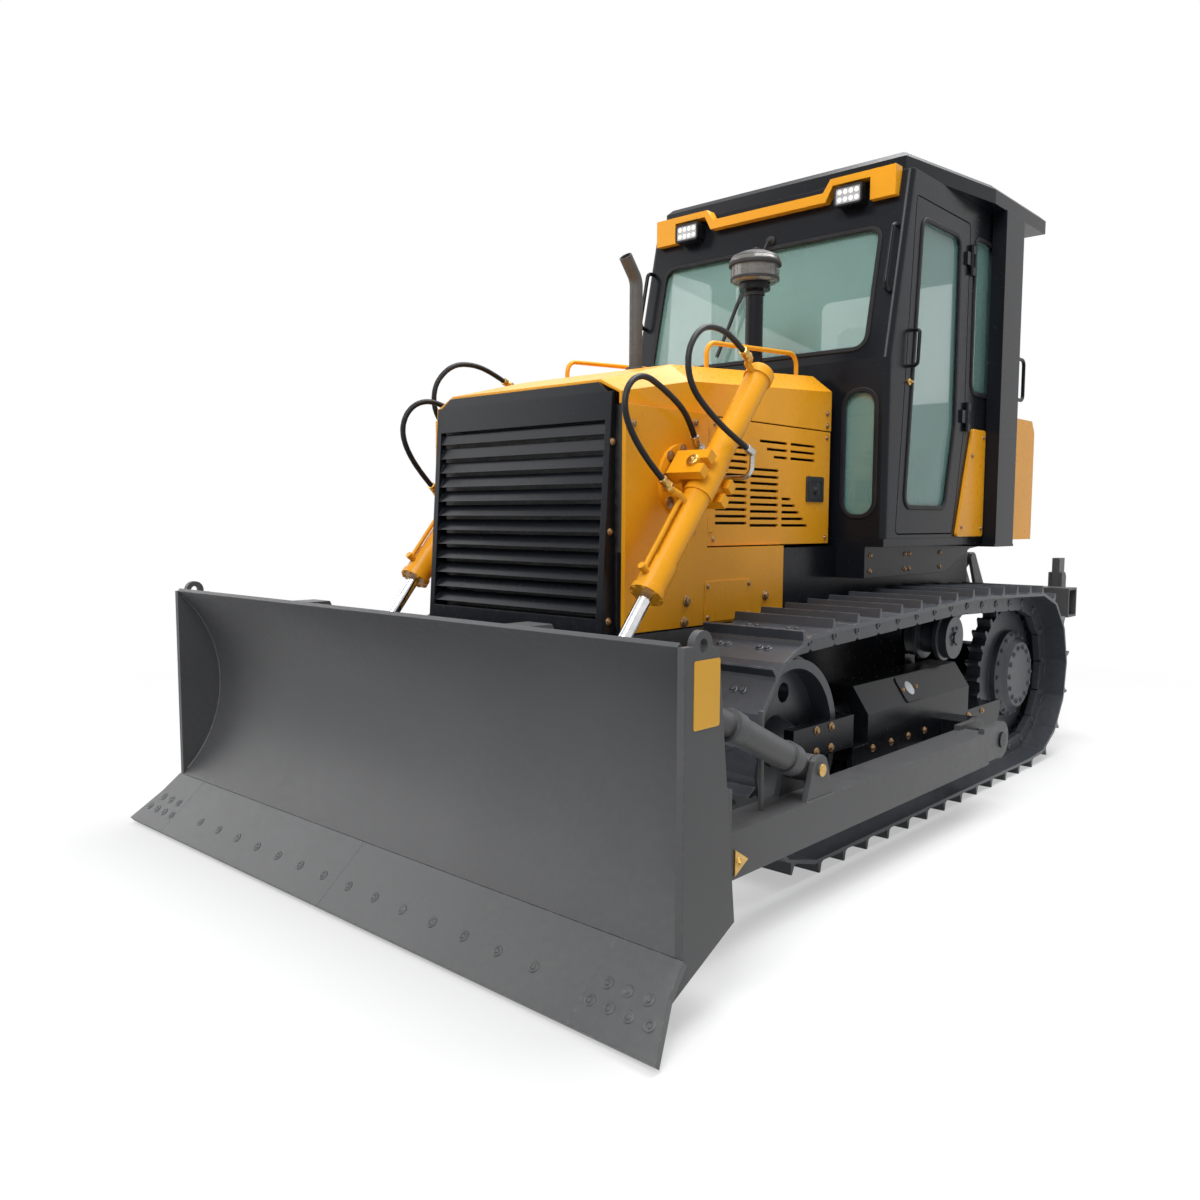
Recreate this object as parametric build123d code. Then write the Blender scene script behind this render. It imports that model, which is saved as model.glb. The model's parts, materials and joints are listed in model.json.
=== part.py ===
"""Crawler bulldozer with a straight blade, a cab and a rear ripper, as an assembly of separate pieces.

Millimetres. +Z is up, the blade points along -Y and the machine's left side is +X.
The origin is on the ground, under the middle of the machine.
"""
from build123d import *
import math
import os

# Clearances
RUN_CLEARANCE = 0.3           # between a wheel and the rail that it runs on
PIVOT_CLEARANCE = 0.3         # between a pin and its bore
WELD_GAP = 0.3                # between plates that a weld joins
SIDE_CLEARANCE = 8.0          # beside an eye between two lugs
SEAM = 6.0                    # gap round a door or panel

# Running gear
TRACK_GAUGE = 1752.0          # between the two track centre lines
SHOE_WIDTH = 480.0
SHOE_COUNT = 38               # shoes in one track loop
SHOE_PLATE = 14.0             # thickness of a shoe's plate
GROUSER_HEIGHT = 46.0         # above the shoe's plate
LINK_HALF_HEIGHT = 45.0       # from the pin line to the rail, and to the shoe's plate
LINK_RAIL = 40.0              # width of one link rail
LINK_INSET = 75.0             # from the track's centre line to the rail's inner face
LINK_GAP = 16.0               # half length of the notch between two links
LINK_NOTCH = 12.0             # its depth
IDLER_Y = -1000.0
IDLER_PIN_RADIUS = 410.0      # of the pin line round the idler
IDLER_RIM = 40.0
IDLER_FLANGE = 18.0
IDLER_BOSS = 70.0
IDLER_WEB = 26.0              # half thickness
IDLER_HOLES = 5
IDLER_HOLE_RADIUS = 42.0
IDLER_HOLE_AT = 205.0         # from the idler's axis
SPROCKET_Y = 1510.0
SPROCKET_PIN_RADIUS = 425.0
SPROCKET_TEETH = 27
SPROCKET_GAP = 35.0           # between a rail and the sprocket's side
CARRIER_Y = 580.0
CARRIER_RADIUS = 110.0
CARRIER_PIN_Z = 985.0         # top of the pin line over the carrier roller
CARRIER_DROP = 7.0            # the straight links cut the corner over the carrier roller
ROLLER_COUNT = 6              # bottom rollers on one side
ROLLER_RADIUS = 88.0
ROLLER_SHAFT = 30.0
ROLLER_FIRST_Y = -450.0
ROLLER_LAST_Y = 980.0

# Track frame
FRAME_WIDTH = 300.0
FRAME_SIDE = 22.0             # thickness of a side plate; a roller's shaft ends at it
FRAME_BOX_BOTTOM = 365.0
FRAME_TOP = 430.0
FRAME_FRONT_Y = -560.0
FRAME_REAR_Y = 1060.0
FRAME_TAIL = 90.0             # side plates behind the last roller
SPRING_COVER_FRONT_Y = -420.0
SPRING_COVER_REAR_Y = 700.0
SPRING_COVER_TOP = 680.0
SPRING_COVER_SHOULDER = 560.0
SPRING_COVER_FLAT = 70.0      # half width of its flat top
FORK_PLATE = 45.0             # idler fork's thickness
FORK_HALF_HEIGHT = 70.0
TENSION_ROD = 55.0
CARRIER_FOOT = 60.0           # half length of the carrier roller's pedestal

# Hull
HULL_HALF_WIDTH = 560.0
HULL_LOW_HALF_WIDTH = 430.0
HULL_BOTTOM = 440.0
HULL_STEP_Z = 840.0
HULL_TOP = 1300.0
HULL_FRONT_Y = -1585.0
HULL_REAR_Y = 1760.0
HULL_PLATE = 20.0
FINAL_DRIVE_RADIUS = 170.0
NOSE_REAR_Y = -442.0          # where the yellow nose plates end

# Hood and nose
HOOD_HALF_WIDTH = 560.0
HOOD_TOP_HALF_WIDTH = 450.0
HOOD_SHEET = 12.0
HOOD_REAR_Y = 10.0
HOOD_BAND_Z = 1875.0          # lower edge of the hood's one-piece top
SIDE_DOOR_FRONT_Y = -1050.0
SIDE_DOOR_BOTTOM = 1310.0
SIDE_HINGE_OUT = 8.0          # engine door's hinge axis outside its sheet
SIDE_HINGE_BACK = 14.0        # and behind the nose plate's edge
SIDE_HINGE_INSET = 90.0       # hinges from the door's top and bottom
SIDE_KNUCKLE = 6.0            # radius of its knuckles
SIDE_PIN = 3.0
GRILLE_HALF_WIDTH = 530.0
GRILLE_BOTTOM = 979.0
GRILLE_TOP = 1962.0
GRILLE_CAP = 150.0            # height of its closed head
GRILLE_SILL = 60.0
GRILLE_SIDE = 30.0
GRILLE_SHOULDER = 40.0        # its bent top edge
GRILLE_DEPTH_LOW = 78.0
GRILLE_DEPTH_HIGH = 20.0
SLAT_COUNT = 12
EXHAUST_AT = (-110.0, -720.0)
EXHAUST_TOP = 2690.0
EXHAUST_RADIUS = 32.0
EXHAUST_COLLAR = 48.0
INTAKE_AT = (330.0, -350.0)
INTAKE_TOP = 2575.0
INTAKE_RADIUS = 43.0
RAIL_X = 430.0                # hood's grab rails
RAIL_FRONT_Y = -870.0
RAIL_REAR_Y = -120.0
RAIL_RADIUS = 11.0
RAIL_FRONT_Z = 2215.0
RAIL_REAR_Z = 2255.0
RAIL_BEND = 60.0

# Cab
CAB_HALF_WIDTH = 820.0
CAB_WALL = 40.0
CAB_CORNER = 32.0             # rounding of the front wall's upright edges
CAB_FLOOR_BOTTOM = 1300.0
CAB_FLOOR_TOP = 1340.0
CAB_SKIRT_Z = 1140.0
CAB_SKIRT_HALF_WIDTH = 720.0
CAB_SKIRT_FLAT = 960.0        # its level stretch behind the cab's front
CAB_SKIRT_RAMP = 350.0        # and the slope after it
CAB_SKIRT_LIP = 30.0          # under the floor at the slope's end
CAB_TOP = 3180.0
CAB_FRONT_Y = 90.0
CAB_REAR_Y = 1800.0
WINDSHIELD_BREAK_Z = 2230.0   # where the front wall starts to lean back
WINDSHIELD_LEAN = 212.0       # how far it leans back at the cab's top
WINDSHIELD_PILLAR = 130.0     # beside it
WINDSHIELD_SILL = 55.0        # under it
WINDSHIELD_HEADER = 275.0     # over it
LOW_WINDOW_WIDTH = 180.0
LOW_WINDOW_PILLAR = 55.0
LOW_WINDOW_SILL = 110.0
LOW_WINDOW_HEADER = 150.0     # under the break
REAR_WINDOW_PILLAR = 260.0
REAR_WINDOW_SILL = 110.0      # over the rear tank
REAR_WINDOW_HEADER = 230.0
QUARTER_FRONT = 70.0          # quarter window behind the door's hinge line
QUARTER_LENGTH = 290.0
QUARTER_SILL = 200.0          # over the door's kink
QUARTER_HEADER = 180.0
WINDOW_CORNER = 60.0
SHIELD_CORNER = 70.0
LOW_WINDOW_CORNER = 80.0
GLASS = 8.0
ROOF_THICKNESS = 106.0
ROOF_BEVEL = 30.0
ROOF_OVERHANG = 80.0          # beside the cab, at the rear
ROOF_INSET = 55.0             # beside the cab, at the front
ROOF_SETBACK = 28.0           # behind the front wall's top
ROOF_WIDE_Y = 1150.0          # where it reaches its full width
ROOF_TAIL = 140.0             # behind the rear wall
POST_GAP = 10.0               # rear posts outside the cab's wall
POST_WIDTH = 80.0
POST_FRONT_Y = 1300.0
POST_REAR_Y = 1570.0
POST_FOOT = 15.0
COVER_SHEET = 16.0            # yellow side covers
TANK_REAR_Y = 2220.0
TANK_TOP = 2070.0
TANK_BOTTOM = 1320.0
TANK_BEVEL = (90.0, 136.0)
TANK_INSET = 20.0
DOOR_FRONT_LOW_Y = 215.0
DOOR_FRONT_HIGH_Y = 352.0
DOOR_REAR_Y = 1020.0
DOOR_REAR_LOW_Y = 896.0
DOOR_KINK_Z = 1950.0
DOOR_SILL = 26.0              # over the floor
DOOR_HEADER = 126.0           # under the cab's top
DOOR_CORNER = 25.0
HINGE_OFFSET = 13.0           # cab door's hinge axis outside the cab's wall
HINGE_RADIUS = 9.0
HINGE_PIN = 4.0
HINGE_HALF = 80.0             # half height of a whole hinge
HINGE_KNUCKLE = 35.0          # half height of the door's knuckle
HINGE_LEAF = 55.0
HINGE_LOW_Z = 2010.0
HINGE_HIGH_DROP = 315.0       # upper hinge under the cab's top
HANDLE_Z = 2300.0
HANDLE_HALF = 90.0
HANDLE_REACH = 42.0
HANDLE_RADIUS = 9.0
VISOR_DEPTH = 70.0            # in front of the front wall's top
VISOR_INSET = 60.0            # from the cab's side
VISOR_BAND = (98.0, 48.0)     # edges of its middle band under the cab's top
VISOR_ARCH = (22.0, -14.0)    # and of its arches over the lamps
VISOR_LEG = 135.0             # its legs reach this far under the cab's top
VISOR_RAMP = (147.0, 105.0)   # an arch's foot and head, inward of the lamp's middle
VISOR_LEG_OUT = 107.0         # the arch's outer side, outward of it
VISOR_STEP = 15.0             # how far the ramp's upper edge is inward of its lower one
LAMP_INSET = 305.0            # work lamp from the cab's side
LAMP_DROP = 95.0              # and under the cab's top
LAMP_FORWARD = 32.0           # its front before the visor's
LAMP_CORNER = 18.0
LENS_CORNER = 12.0
LENS_SINK = 2.0
LAMP_SIZE = (160.0, 62.0, 100.0)
LENS_DEPTH = 8.0
LENS_RIM = 8.0
LAMP_STAY = 22.0
GRAB_INSET = 40.0             # grab bars on the front pillars, from the cab's side
GRAB_LOW = 620.0              # their ends under the cab's top
GRAB_HIGH = 290.0
GRAB_REACH = 60.0
GRAB_RADIUS = 11.0
GRAB_BEND = 35.0
REAR_GRAB_LOW = 120.0         # grab bars on the rear wall: their ends over the tank's top
REAR_GRAB_HIGH = 370.0
REAR_GRAB_REACH = 200.0

# Inside the cab
SEAT_HALF_WIDTH = 240.0
SEAT_FRONT_Y = 780.0
SEAT_REAR_Y = 1260.0
SEAT_PAN_Z = 1575.0           # underside of the cushion
SEAT_CUSHION = 130.0
SEAT_BACK = 120.0
SEAT_TOP = 2330.0
SEAT_PAN = 25.0
SEAT_ROUND = 35.0
ARMREST_X = 330.0
ARMREST_Z = 1780.0
DASH_HALF_WIDTH = 330.0
DASH_REAR_Y = 330.0
DASH_TOP = 2150.0
LEVER_RADIUS = 9.0
KNOB_RADIUS = 22.0

# Blade and push frame
ARM_PIVOT_Y = 450.0
ARM_PIVOT_Z = 350.0
ARM_INNER_X = 1150.0
ARM_WIDTH = 150.0
ARM_HEIGHT = 160.0
ARM_Z = 330.0                 # centre of the arm's section
ARM_PLATE = 30.0              # fork plates at its rear end
ARM_EYE_RADIUS = 92.0
TRUNNION_RADIUS = 38.0
BLADE_HALF_WIDTH = 1500.0
BLADE_TOP_Y = -2400.0
BLADE_TOP_Z = 1083.0
BLADE_DEEP_Y = -2200.0        # deepest point of the curved face
BLADE_DEEP_Z = 610.0
BLADE_EDGE_Y = -2395.0        # where the cutting edge starts
BLADE_EDGE_Z = 215.0
EDGE_TIP_Y = -2605.0
EDGE_TIP_Z = 28.0
MOULDBOARD = 16.0
EDGE_THICKNESS = 24.0
EDGE_INNER_X = 1262.0         # between the middle edges and the end bits
END_PLATE = 25.0
END_BIT_REACH = 79.0          # beyond the end plate, at the tip
LUG_Y = -2315.0               # lifting eye
LUG_Z = 1083.0
LUG_RADIUS = 42.0
LUG_HOLE_RADIUS = 20.0
BOX_REAR_Y = -2130.0          # back face of the blade's stiffening box
BOX_TOP = 640.0
BOX_BOTTOM = 240.0
RIB_XS = (-1100.0, -380.0, 380.0, 1100.0)
RIB = 24.0
STRUT_X = 1225.0              # bracing struts from the push arms to the blade
STRUT_TRIM = (100.0, 400.0, 300.0)  # half width, depth and half height of the cut that squares a strut's head
STRUT_FOOT = (-1305.0, 516.0)
STRUT_HEAD_Z = 915.0
STRUT_FACE_Y = -2165.0
STRUT_RADIUS = 42.0
STRUT_SLEEVE = 52.0
STRUT_LUG = 22.0
STRUT_PIN = 24.0
LOCK_ROD_Y = -1590.0          # thin upright rod on a push arm
LOCK_ROD_TOP = 766.0
LOCK_ROD_RADIUS = 10.0

# Lift cylinders
CYLINDER_X = 713.0
CYLINDER_TRUNNION = (-1246.0, 1590.0)
CYLINDER_EYE = (-2060.0, 597.0)
BARREL_RADIUS = 55.0
BARREL_BELOW = 580.0          # from the trunnion to the gland
BARREL_ABOVE = 608.0          # from the trunnion to the cap
BARREL_COLLAR = 62.0
GLAND_HEAD = 150.0            # length of the thick end
GLAND_RING = 25.0
BORE_ABOVE = 470.0            # how far the bore goes past the trunnion
ROD_RADIUS = 27.0
ROD_INSIDE = 403.0            # how much of the rod is inside its barrel at rest
ROD_EYE_RADIUS = 48.0
EYE_HALF = 37.0               # half width of a rod's eye
EAR = 26.0                    # ears on the blade for it
YOKE_FLANGE = 147.0           # round plate on the nose
YOKE_FLANGE_PLATE = 18.0
YOKE_PIN = 40.0
YOKE_BOSS = 78.0
YOKE_PLATE = 42.0
YOKE_GAP = 8.0                # between flange and yoke
YOKE_JAW_IN = 70.0            # jaws in front of and behind the barrel
YOKE_JAW_OUT = 112.0
YOKE_JAW_HALF = 60.0
YOKE_JAW_REACH = 62.0         # past the barrel's axis
YOKE_SLOT = 14.0              # half width of the slot between a jaw's claws
TRUNNION_PIN = 28.0
PORT_RADIUS = 15.0
PORT_HEIGHT = 100.0           # from the barrel's axis
GLAND_PORT = 510.0            # ports along the barrel, from the trunnion
ROD_PORT = 160.0
CAP_PORT = -560.0
HARD_LINE = 10.0
HARD_LINE_OUT = 78.0

# Ripper
LINK_FRONT_Y = 1830.0         # ripper links' pins on the hull
LINK_REAR_Y = 2290.0          # ripper links' pins on the beam, raised
LINK_LOW_Z = 640.0
LINK_RISE = 240.0             # how much higher the rear pins are, raised
LINK_SPACING = 300.0          # upper pins above the lower ones
LINK_X = 330.0
LINK_HALF = 30.0              # half thickness of a link
LINK_EYE = 42.0
LINK_DEPTH = 72.0
RIPPER_PIN = 22.0
LUG_PLATE = 22.0
LUG_GAP = 6.0
LUG_ROOT = 25.0               # a lug is this much taller at its root
BEAM_HALF_WIDTH = 1000.0
BEAM_SIZE = 160.0
BEAM_HALF_HEIGHT = 95.0
BEAM_WALL = 14.0
BEAM_POCKET = 120.0           # depth of its open ends
BEAM_Y = 2425.0
BEAM_Z = 905.0
SHANK_X = 860.0
SHANK_HALF = 24.0
SHANK_TOP = 1190.0
SHANK_TIP = 290.0
SHANK_DEPTH = 90.0
HOLDER_PLATE = 18.0
HOLDER_HALF_HEIGHT = 190.0
HOLDER_PIN = 20.0
RAM_BARREL = 42.0
RAM_NECK = 75.0               # narrow part beside the pin
RAM_ROD = 22.0
RAM_BODY = 440.0
RAM_BASE_Z = 1150.0           # ripper cylinder's pin on the hull
RAM_EYE_Z = 850.0             # its rod's eye on the toolbar
RAM_SHIFT = 10.0              # both pins from the links' pins, along Y
REAR_END_Y = 2605.0


# Helpers
def block(x, y, z):
    """A box from three (low, high) spans."""
    size = [b - a for a, b in (x, y, z)]
    middle = [(a + b) / 2 for a, b in (x, y, z)]
    return Pos(*middle) * Box(*size)


def plate_yz(points, x0, x1):
    """A side-view outline, given as (y, z) points, pulled across from x0 to x1."""
    face = make_face(Polyline(*[(x0, y, z) for y, z in points], close=True))
    return extrude(face, amount=x1 - x0, dir=(1, 0, 0))


def plate_xz(points, y0, y1):
    """A front-view outline, given as (x, z) points, pulled back from y0 to y1."""
    face = make_face(Polyline(*[(x, y0, z) for x, z in points], close=True))
    return extrude(face, amount=y1 - y0, dir=(0, 1, 0))


def plate_xy(points, z0, z1):
    """A plan outline, given as (x, y) points, pulled up from z0 to z1."""
    face = make_face(Polyline(*[(x, y, z0) for x, y in points], close=True))
    return extrude(face, amount=z1 - z0, dir=(0, 0, 1))


def bar(start, end, radius):
    """A round bar between two points."""
    a, b = Vector(*start), Vector(*end)
    foot = Plane(origin=a, z_dir=b - a)
    return foot * Cylinder(radius, (b - a).length, align=(Align.CENTER, Align.CENTER, Align.MIN))


def cross_bar(y, z, radius, x0, x1):
    """A round bar along X."""
    return bar((x0, y, z), (x1, y, z), radius)


CORNER_SHARE = 0.45           # the most of a window's side that one rounded corner takes


def turned(profile, y, z):
    """A wheel on an axle along X at (y, z): profile is (x, radius) points of its half section."""
    face = make_face(Polyline(*[(x, y, z + r) for x, r in profile], close=True))
    return revolve(face, axis=Axis((0, y, z), (1, 0, 0)))


def slot_xz(xs, zs, radius, y0, y1):
    """A rounded window in a front view, as the prism to cut; a small window limits its corners."""
    width, height = xs[1] - xs[0], zs[1] - zs[0]
    shape = fillet(Rectangle(width, height).vertices(), min(radius, CORNER_SHARE * min(width, height)))
    middle = ((xs[0] + xs[1]) / 2, y0, (zs[0] + zs[1]) / 2)
    place = Plane(origin=middle, x_dir=(1, 0, 0), z_dir=(0, -1, 0))
    return extrude(place * shape, amount=y1 - y0, dir=(0, 1, 0))


def outline_yz(points, radius, x0, x1):
    """A side-view outline with rounded corners, pulled across from x0 to x1."""
    face = make_face(Polyline(*[(x0, y, z) for y, z in points], close=True))
    face = fillet(face.vertices(), radius)
    return extrude(face, amount=x1 - x0, dir=(1, 0, 0))


def pipe_along(points, bend, radius):
    """A round pipe through points, with its corners bent; bend is one radius or one for each corner."""
    path = FilletPolyline(*points, radius=bend) if len(points) > 2 else Line(*points)
    return sweep(Plane(origin=path @ 0, z_dir=path % 0) * Circle(radius), path=path)


def mirrored(shape):
    """The same piece on the machine's other side."""
    return mirror(shape, about=Plane.YZ)


def fused(shapes):
    """All shapes as one solid."""
    whole = shapes[0]
    for shape in shapes[1:]:
        whole += shape
    return whole


NODES = {}


def add(name, *shapes):
    """Keeps a node: one solid, or several that don't touch."""
    NODES[name] = shapes[0] if len(shapes) == 1 else Compound(children=list(shapes))


def add_pair(name, shape):
    """Keeps a piece on the left side and its mirror image on the right, as two nodes."""
    add(name + "_left", shape)
    add(name + "_right", mirrored(shape))


def add_both(name, *shapes):
    """Keeps pieces and their mirror images in one node."""
    add(name, *shapes, *[mirrored(s) for s in shapes])


# The track's pin line: a belt round idler, sprocket and carrier roller
TRACK_X = TRACK_GAUGE / 2
SHOE_TIP = LINK_HALF_HEIGHT + SHOE_PLATE + GROUSER_HEIGHT
IDLER_Z = SHOE_TIP + IDLER_PIN_RADIUS
SPROCKET_Z = SHOE_TIP + SPROCKET_PIN_RADIUS
CARRIER_Z = CARRIER_PIN_Z - LINK_HALF_HEIGHT - CARRIER_RADIUS
BELT = [(IDLER_Y, IDLER_Z, IDLER_PIN_RADIUS),
        (SPROCKET_Y, SPROCKET_Z, SPROCKET_PIN_RADIUS),
        (CARRIER_Y, CARRIER_Z, CARRIER_RADIUS + LINK_HALF_HEIGHT)]


def belt_normal(a, b):
    """Outward direction of the straight run from circle a to circle b."""
    dy, dz = b[0] - a[0], b[1] - a[1]
    d = math.hypot(dy, dz)
    ey, ez = dy / d, dz / d
    c = (a[2] - b[2]) / d
    s = math.sqrt(1 - c * c)
    return (ey * c + ez * s, ez * c - ey * s)


def belt_pins(circles, count):
    """Evenly spaced pin positions round a belt of circles, in order."""
    runs = []
    n = len(circles)
    for i in range(n):
        a, b, c = circles[i], circles[(i + 1) % n], circles[(i + 2) % n]
        n1, n2 = belt_normal(a, b), belt_normal(b, c)
        start = (a[0] + a[2] * n1[0], a[1] + a[2] * n1[1])
        end = (b[0] + b[2] * n1[0], b[1] + b[2] * n1[1])
        runs.append(("line", math.dist(start, end), start, end))
        t1, t2 = math.atan2(n1[1], n1[0]), math.atan2(n2[1], n2[0])
        turn = (t2 - t1) % (2 * math.pi)
        runs.append(("arc", b[2] * turn, b, t1))
    total = sum(r[1] for r in runs)
    pins = []
    for k in range(count):
        s = total * k / count
        for kind, length, p, q in runs:
            if s <= length:
                break
            s -= length
        if kind == "line":
            f = s / length
            pins.append((p[0] + (q[0] - p[0]) * f, p[1] + (q[1] - p[1]) * f))
        else:
            t = q + s / p[2]
            pins.append((p[0] + p[2] * math.cos(t), p[1] + p[2] * math.sin(t)))
    return pins


PINS = belt_pins(BELT, SHOE_COUNT)
PITCH = math.dist(PINS[1], PINS[2])
# The rails are straight from pin to pin, so they pass inside their corners
IDLER_TREAD = IDLER_PIN_RADIUS * math.cos(PITCH / 2 / IDLER_PIN_RADIUS) - LINK_HALF_HEIGHT - 2.0
TREAD_X = LINK_INSET + LINK_RAIL
# Columns: place along the shoe as a share of its pitch, height above the plate as a share of the grouser
SHOE_PROFILE = [(0.04, 0.0), (0.085, 1.0), (0.135, 1.0), (0.18, 0.16), (0.26, 0.0), (0.97, 0.09)]


def beside(start, end, along, out):
    """A (y, z) point on the link from pin to pin: so far along it and so far outside its pin line."""
    ty, tz = end[0] - start[0], end[1] - start[1]
    d = math.hypot(ty, tz)
    return (start[0] + (ty * along + tz * out) / d, start[1] + (tz * along - ty * out) / d)


def ring_outline(height):
    """The pin polygon moved outward by height, one corner at each pin."""
    points = []
    for k, pin in enumerate(PINS):
        before, after = PINS[k - 1], PINS[(k + 1) % len(PINS)]
        step = (pin[0] + after[0] - before[0], pin[1] + after[1] - before[1])
        points.append(beside(pin, step, 0, height))
    return points


def rail_outline():
    """The rails' running line, with a notch at each pin, where two links meet."""
    points = []
    notches = ring_outline(LINK_NOTCH - LINK_HALF_HEIGHT)
    for k, pin in enumerate(PINS):
        before, after = PINS[k - 1], PINS[(k + 1) % len(PINS)]
        points.append(beside(before, pin, PITCH - LINK_GAP, -LINK_HALF_HEIGHT))
        points.append(notches[k])
        points.append(beside(pin, after, LINK_GAP, -LINK_HALF_HEIGHT))
    return points


def shoe_outline():
    """The track's outer outline: every shoe's plate and grouser in turn."""
    points = []
    base = LINK_HALF_HEIGHT + SHOE_PLATE
    for k, pin in enumerate(PINS):
        after = PINS[(k + 1) % len(PINS)]
        for share, rise in SHOE_PROFILE:
            points.append(beside(pin, after, share * PITCH, base + rise * GROUSER_HEIGHT))
    return points


def track():
    """One loop: shoes with grousers on two rails of links."""
    x0, x1 = TRACK_X - SHOE_WIDTH / 2, TRACK_X + SHOE_WIDTH / 2
    inner = ring_outline(LINK_HALF_HEIGHT)
    loop = plate_yz(shoe_outline(), x0, x1) - plate_yz(inner, x0 - 1, x1 + 1)
    rail_out = ring_outline(LINK_HALF_HEIGHT + SHOE_PLATE / 2)
    for x in (TRACK_X - TREAD_X, TRACK_X + LINK_INSET):
        rail = plate_yz(rail_out, x, x + LINK_RAIL)
        loop += rail - plate_yz(rail_outline(), x - 1, x + LINK_RAIL + 1)
    return loop


# Columns: place in the tooth's step, share of the tooth's height
TOOTH = [(0.0, 0.0), (0.28, 0.0), (0.42, 1.0), (0.58, 1.0), (0.72, 0.0)]
TOOTH_HEIGHT = 41.0
# Columns: distance outward from the toothed ring, radius
SPROCKET_HUB = [(0, 0), (0, 255), (35, 255), (60, 215), (85, 190), (85, 0)]


def sprocket():
    """Toothed driving ring on a bolted hub, between the two link rails."""
    root = SPROCKET_PIN_RADIUS - LINK_HALF_HEIGHT
    half = LINK_INSET - SPROCKET_GAP
    points = []
    for k in range(SPROCKET_TEETH):
        for share, rise in TOOTH:
            t = (k + share) * 2 * math.pi / SPROCKET_TEETH
            r = root + rise * TOOTH_HEIGHT
            points.append((SPROCKET_Y + r * math.cos(t), SPROCKET_Z + r * math.sin(t)))
    ring = plate_yz(points, TRACK_X - half, TRACK_X + half)
    return ring + turned([(TRACK_X + half + x, r) for x, r in SPROCKET_HUB], SPROCKET_Y, SPROCKET_Z)


def idler():
    """Front wheel: two treads under the rails, a guide flange between them, a dished web with holes."""
    r = IDLER_TREAD
    flange_x = LINK_INSET - 8
    rim = [(TREAD_X, r - IDLER_RIM), (TREAD_X, r), (flange_x, r), (flange_x - 6, r + IDLER_FLANGE)]
    web = [(IDLER_WEB, r - IDLER_RIM), (IDLER_WEB, IDLER_BOSS + 40), (TREAD_X, IDLER_BOSS), (TREAD_X, 0)]
    section = [(TRACK_X - x, rr) for x, rr in rim] + [(TRACK_X + x, rr) for x, rr in reversed(rim)]
    section += [(TRACK_X + x, rr) for x, rr in web] + [(TRACK_X - x, rr) for x, rr in reversed(web)]
    wheel = turned(section, IDLER_Y, IDLER_Z)
    for k in range(IDLER_HOLES):
        t = 2 * math.pi * k / IDLER_HOLES
        y, z = IDLER_Y + IDLER_HOLE_AT * math.cos(t), IDLER_Z + IDLER_HOLE_AT * math.sin(t)
        wheel -= cross_bar(y, z, IDLER_HOLE_RADIUS, TRACK_X - TREAD_X, TRACK_X + TREAD_X)
    return wheel


ROLLER_FLANGE = 14.0
ROLLER_WAIST = 22.0


def roller(y, z, radius):
    """A double-flanged roller under or over the two rails, on its shaft."""
    end, flange = FRAME_WIDTH / 2 - FRAME_SIDE, radius + ROLLER_FLANGE
    half = [(end, 0), (end, ROLLER_SHAFT), (TREAD_X, ROLLER_SHAFT), (TREAD_X, radius),
            (LINK_INSET - 4, radius),
            (LINK_INSET - 8, flange), (LINK_INSET - 30, flange), (LINK_INSET - 34, radius - ROLLER_WAIST)]
    section = [(TRACK_X + x, r) for x, r in half] + [(TRACK_X - x, r) for x, r in reversed(half)]
    return turned(section, y, z)


ROLLER_Z = SHOE_TIP + LINK_HALF_HEIGHT + ROLLER_RADIUS + RUN_CLEARANCE
ROLLER_STEP = (ROLLER_LAST_Y - ROLLER_FIRST_Y) / (ROLLER_COUNT - 1)
ROLLER_YS = [ROLLER_FIRST_Y + ROLLER_STEP * k for k in range(ROLLER_COUNT)]
FRAME_LOW = ROLLER_Z - 42.0   # lower edge of the side plates that hold the rollers


def spring_cover():
    """Six-sided cover of the recoil spring, on the roller frame."""
    half, flat = FRAME_WIDTH / 2, SPRING_COVER_FLAT
    right = [(half, FRAME_TOP), (half, SPRING_COVER_SHOULDER), (flat, SPRING_COVER_TOP)]
    section = [(TRACK_X + x, z) for x, z in right] + [(TRACK_X - x, z) for x, z in reversed(right)]
    return plate_xz(section, SPRING_COVER_FRONT_Y, SPRING_COVER_REAR_Y)


def idler_fork():
    """Sliding yoke from the recoil spring to the idler's two ends, with its tension rod."""
    inner = TREAD_X + RUN_CLEARANCE
    outer = inner + FORK_PLATE
    zs = (IDLER_Z - FORK_HALF_HEIGHT, IDLER_Z + FORK_HALF_HEIGHT)
    back = IDLER_Y + IDLER_TREAD + FORK_PLATE + 15
    shapes = [block((TRACK_X - outer, TRACK_X + outer), (back - FORK_PLATE + 15, back + 15), zs)]
    for x0, x1 in ((TRACK_X - outer, TRACK_X - inner), (TRACK_X + inner, TRACK_X + outer)):
        shapes.append(block((x0, x1), (IDLER_Y - FORK_HALF_HEIGHT, back), zs))
    rod_z = (FRAME_TOP + SPRING_COVER_TOP) / 2
    shapes.append(bar((TRACK_X, back, rod_z), (TRACK_X, SPRING_COVER_FRONT_Y, rod_z), TENSION_ROD))
    return shapes


def trunnion():
    """Bracket on the track frame that carries the push arm's pivot pin."""
    x0 = TRACK_X + FRAME_WIDTH / 2
    ys = (ARM_PIVOT_Y - 90, ARM_PIVOT_Y + 90)
    body = block((x0, ARM_INNER_X - SIDE_CLEARANCE), ys, (ARM_PIVOT_Z - 70, FRAME_TOP))
    return body + cross_bar(ARM_PIVOT_Y, ARM_PIVOT_Z, TRUNNION_RADIUS, x0 + 10, ARM_INNER_X + ARM_WIDTH + 10)


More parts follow.
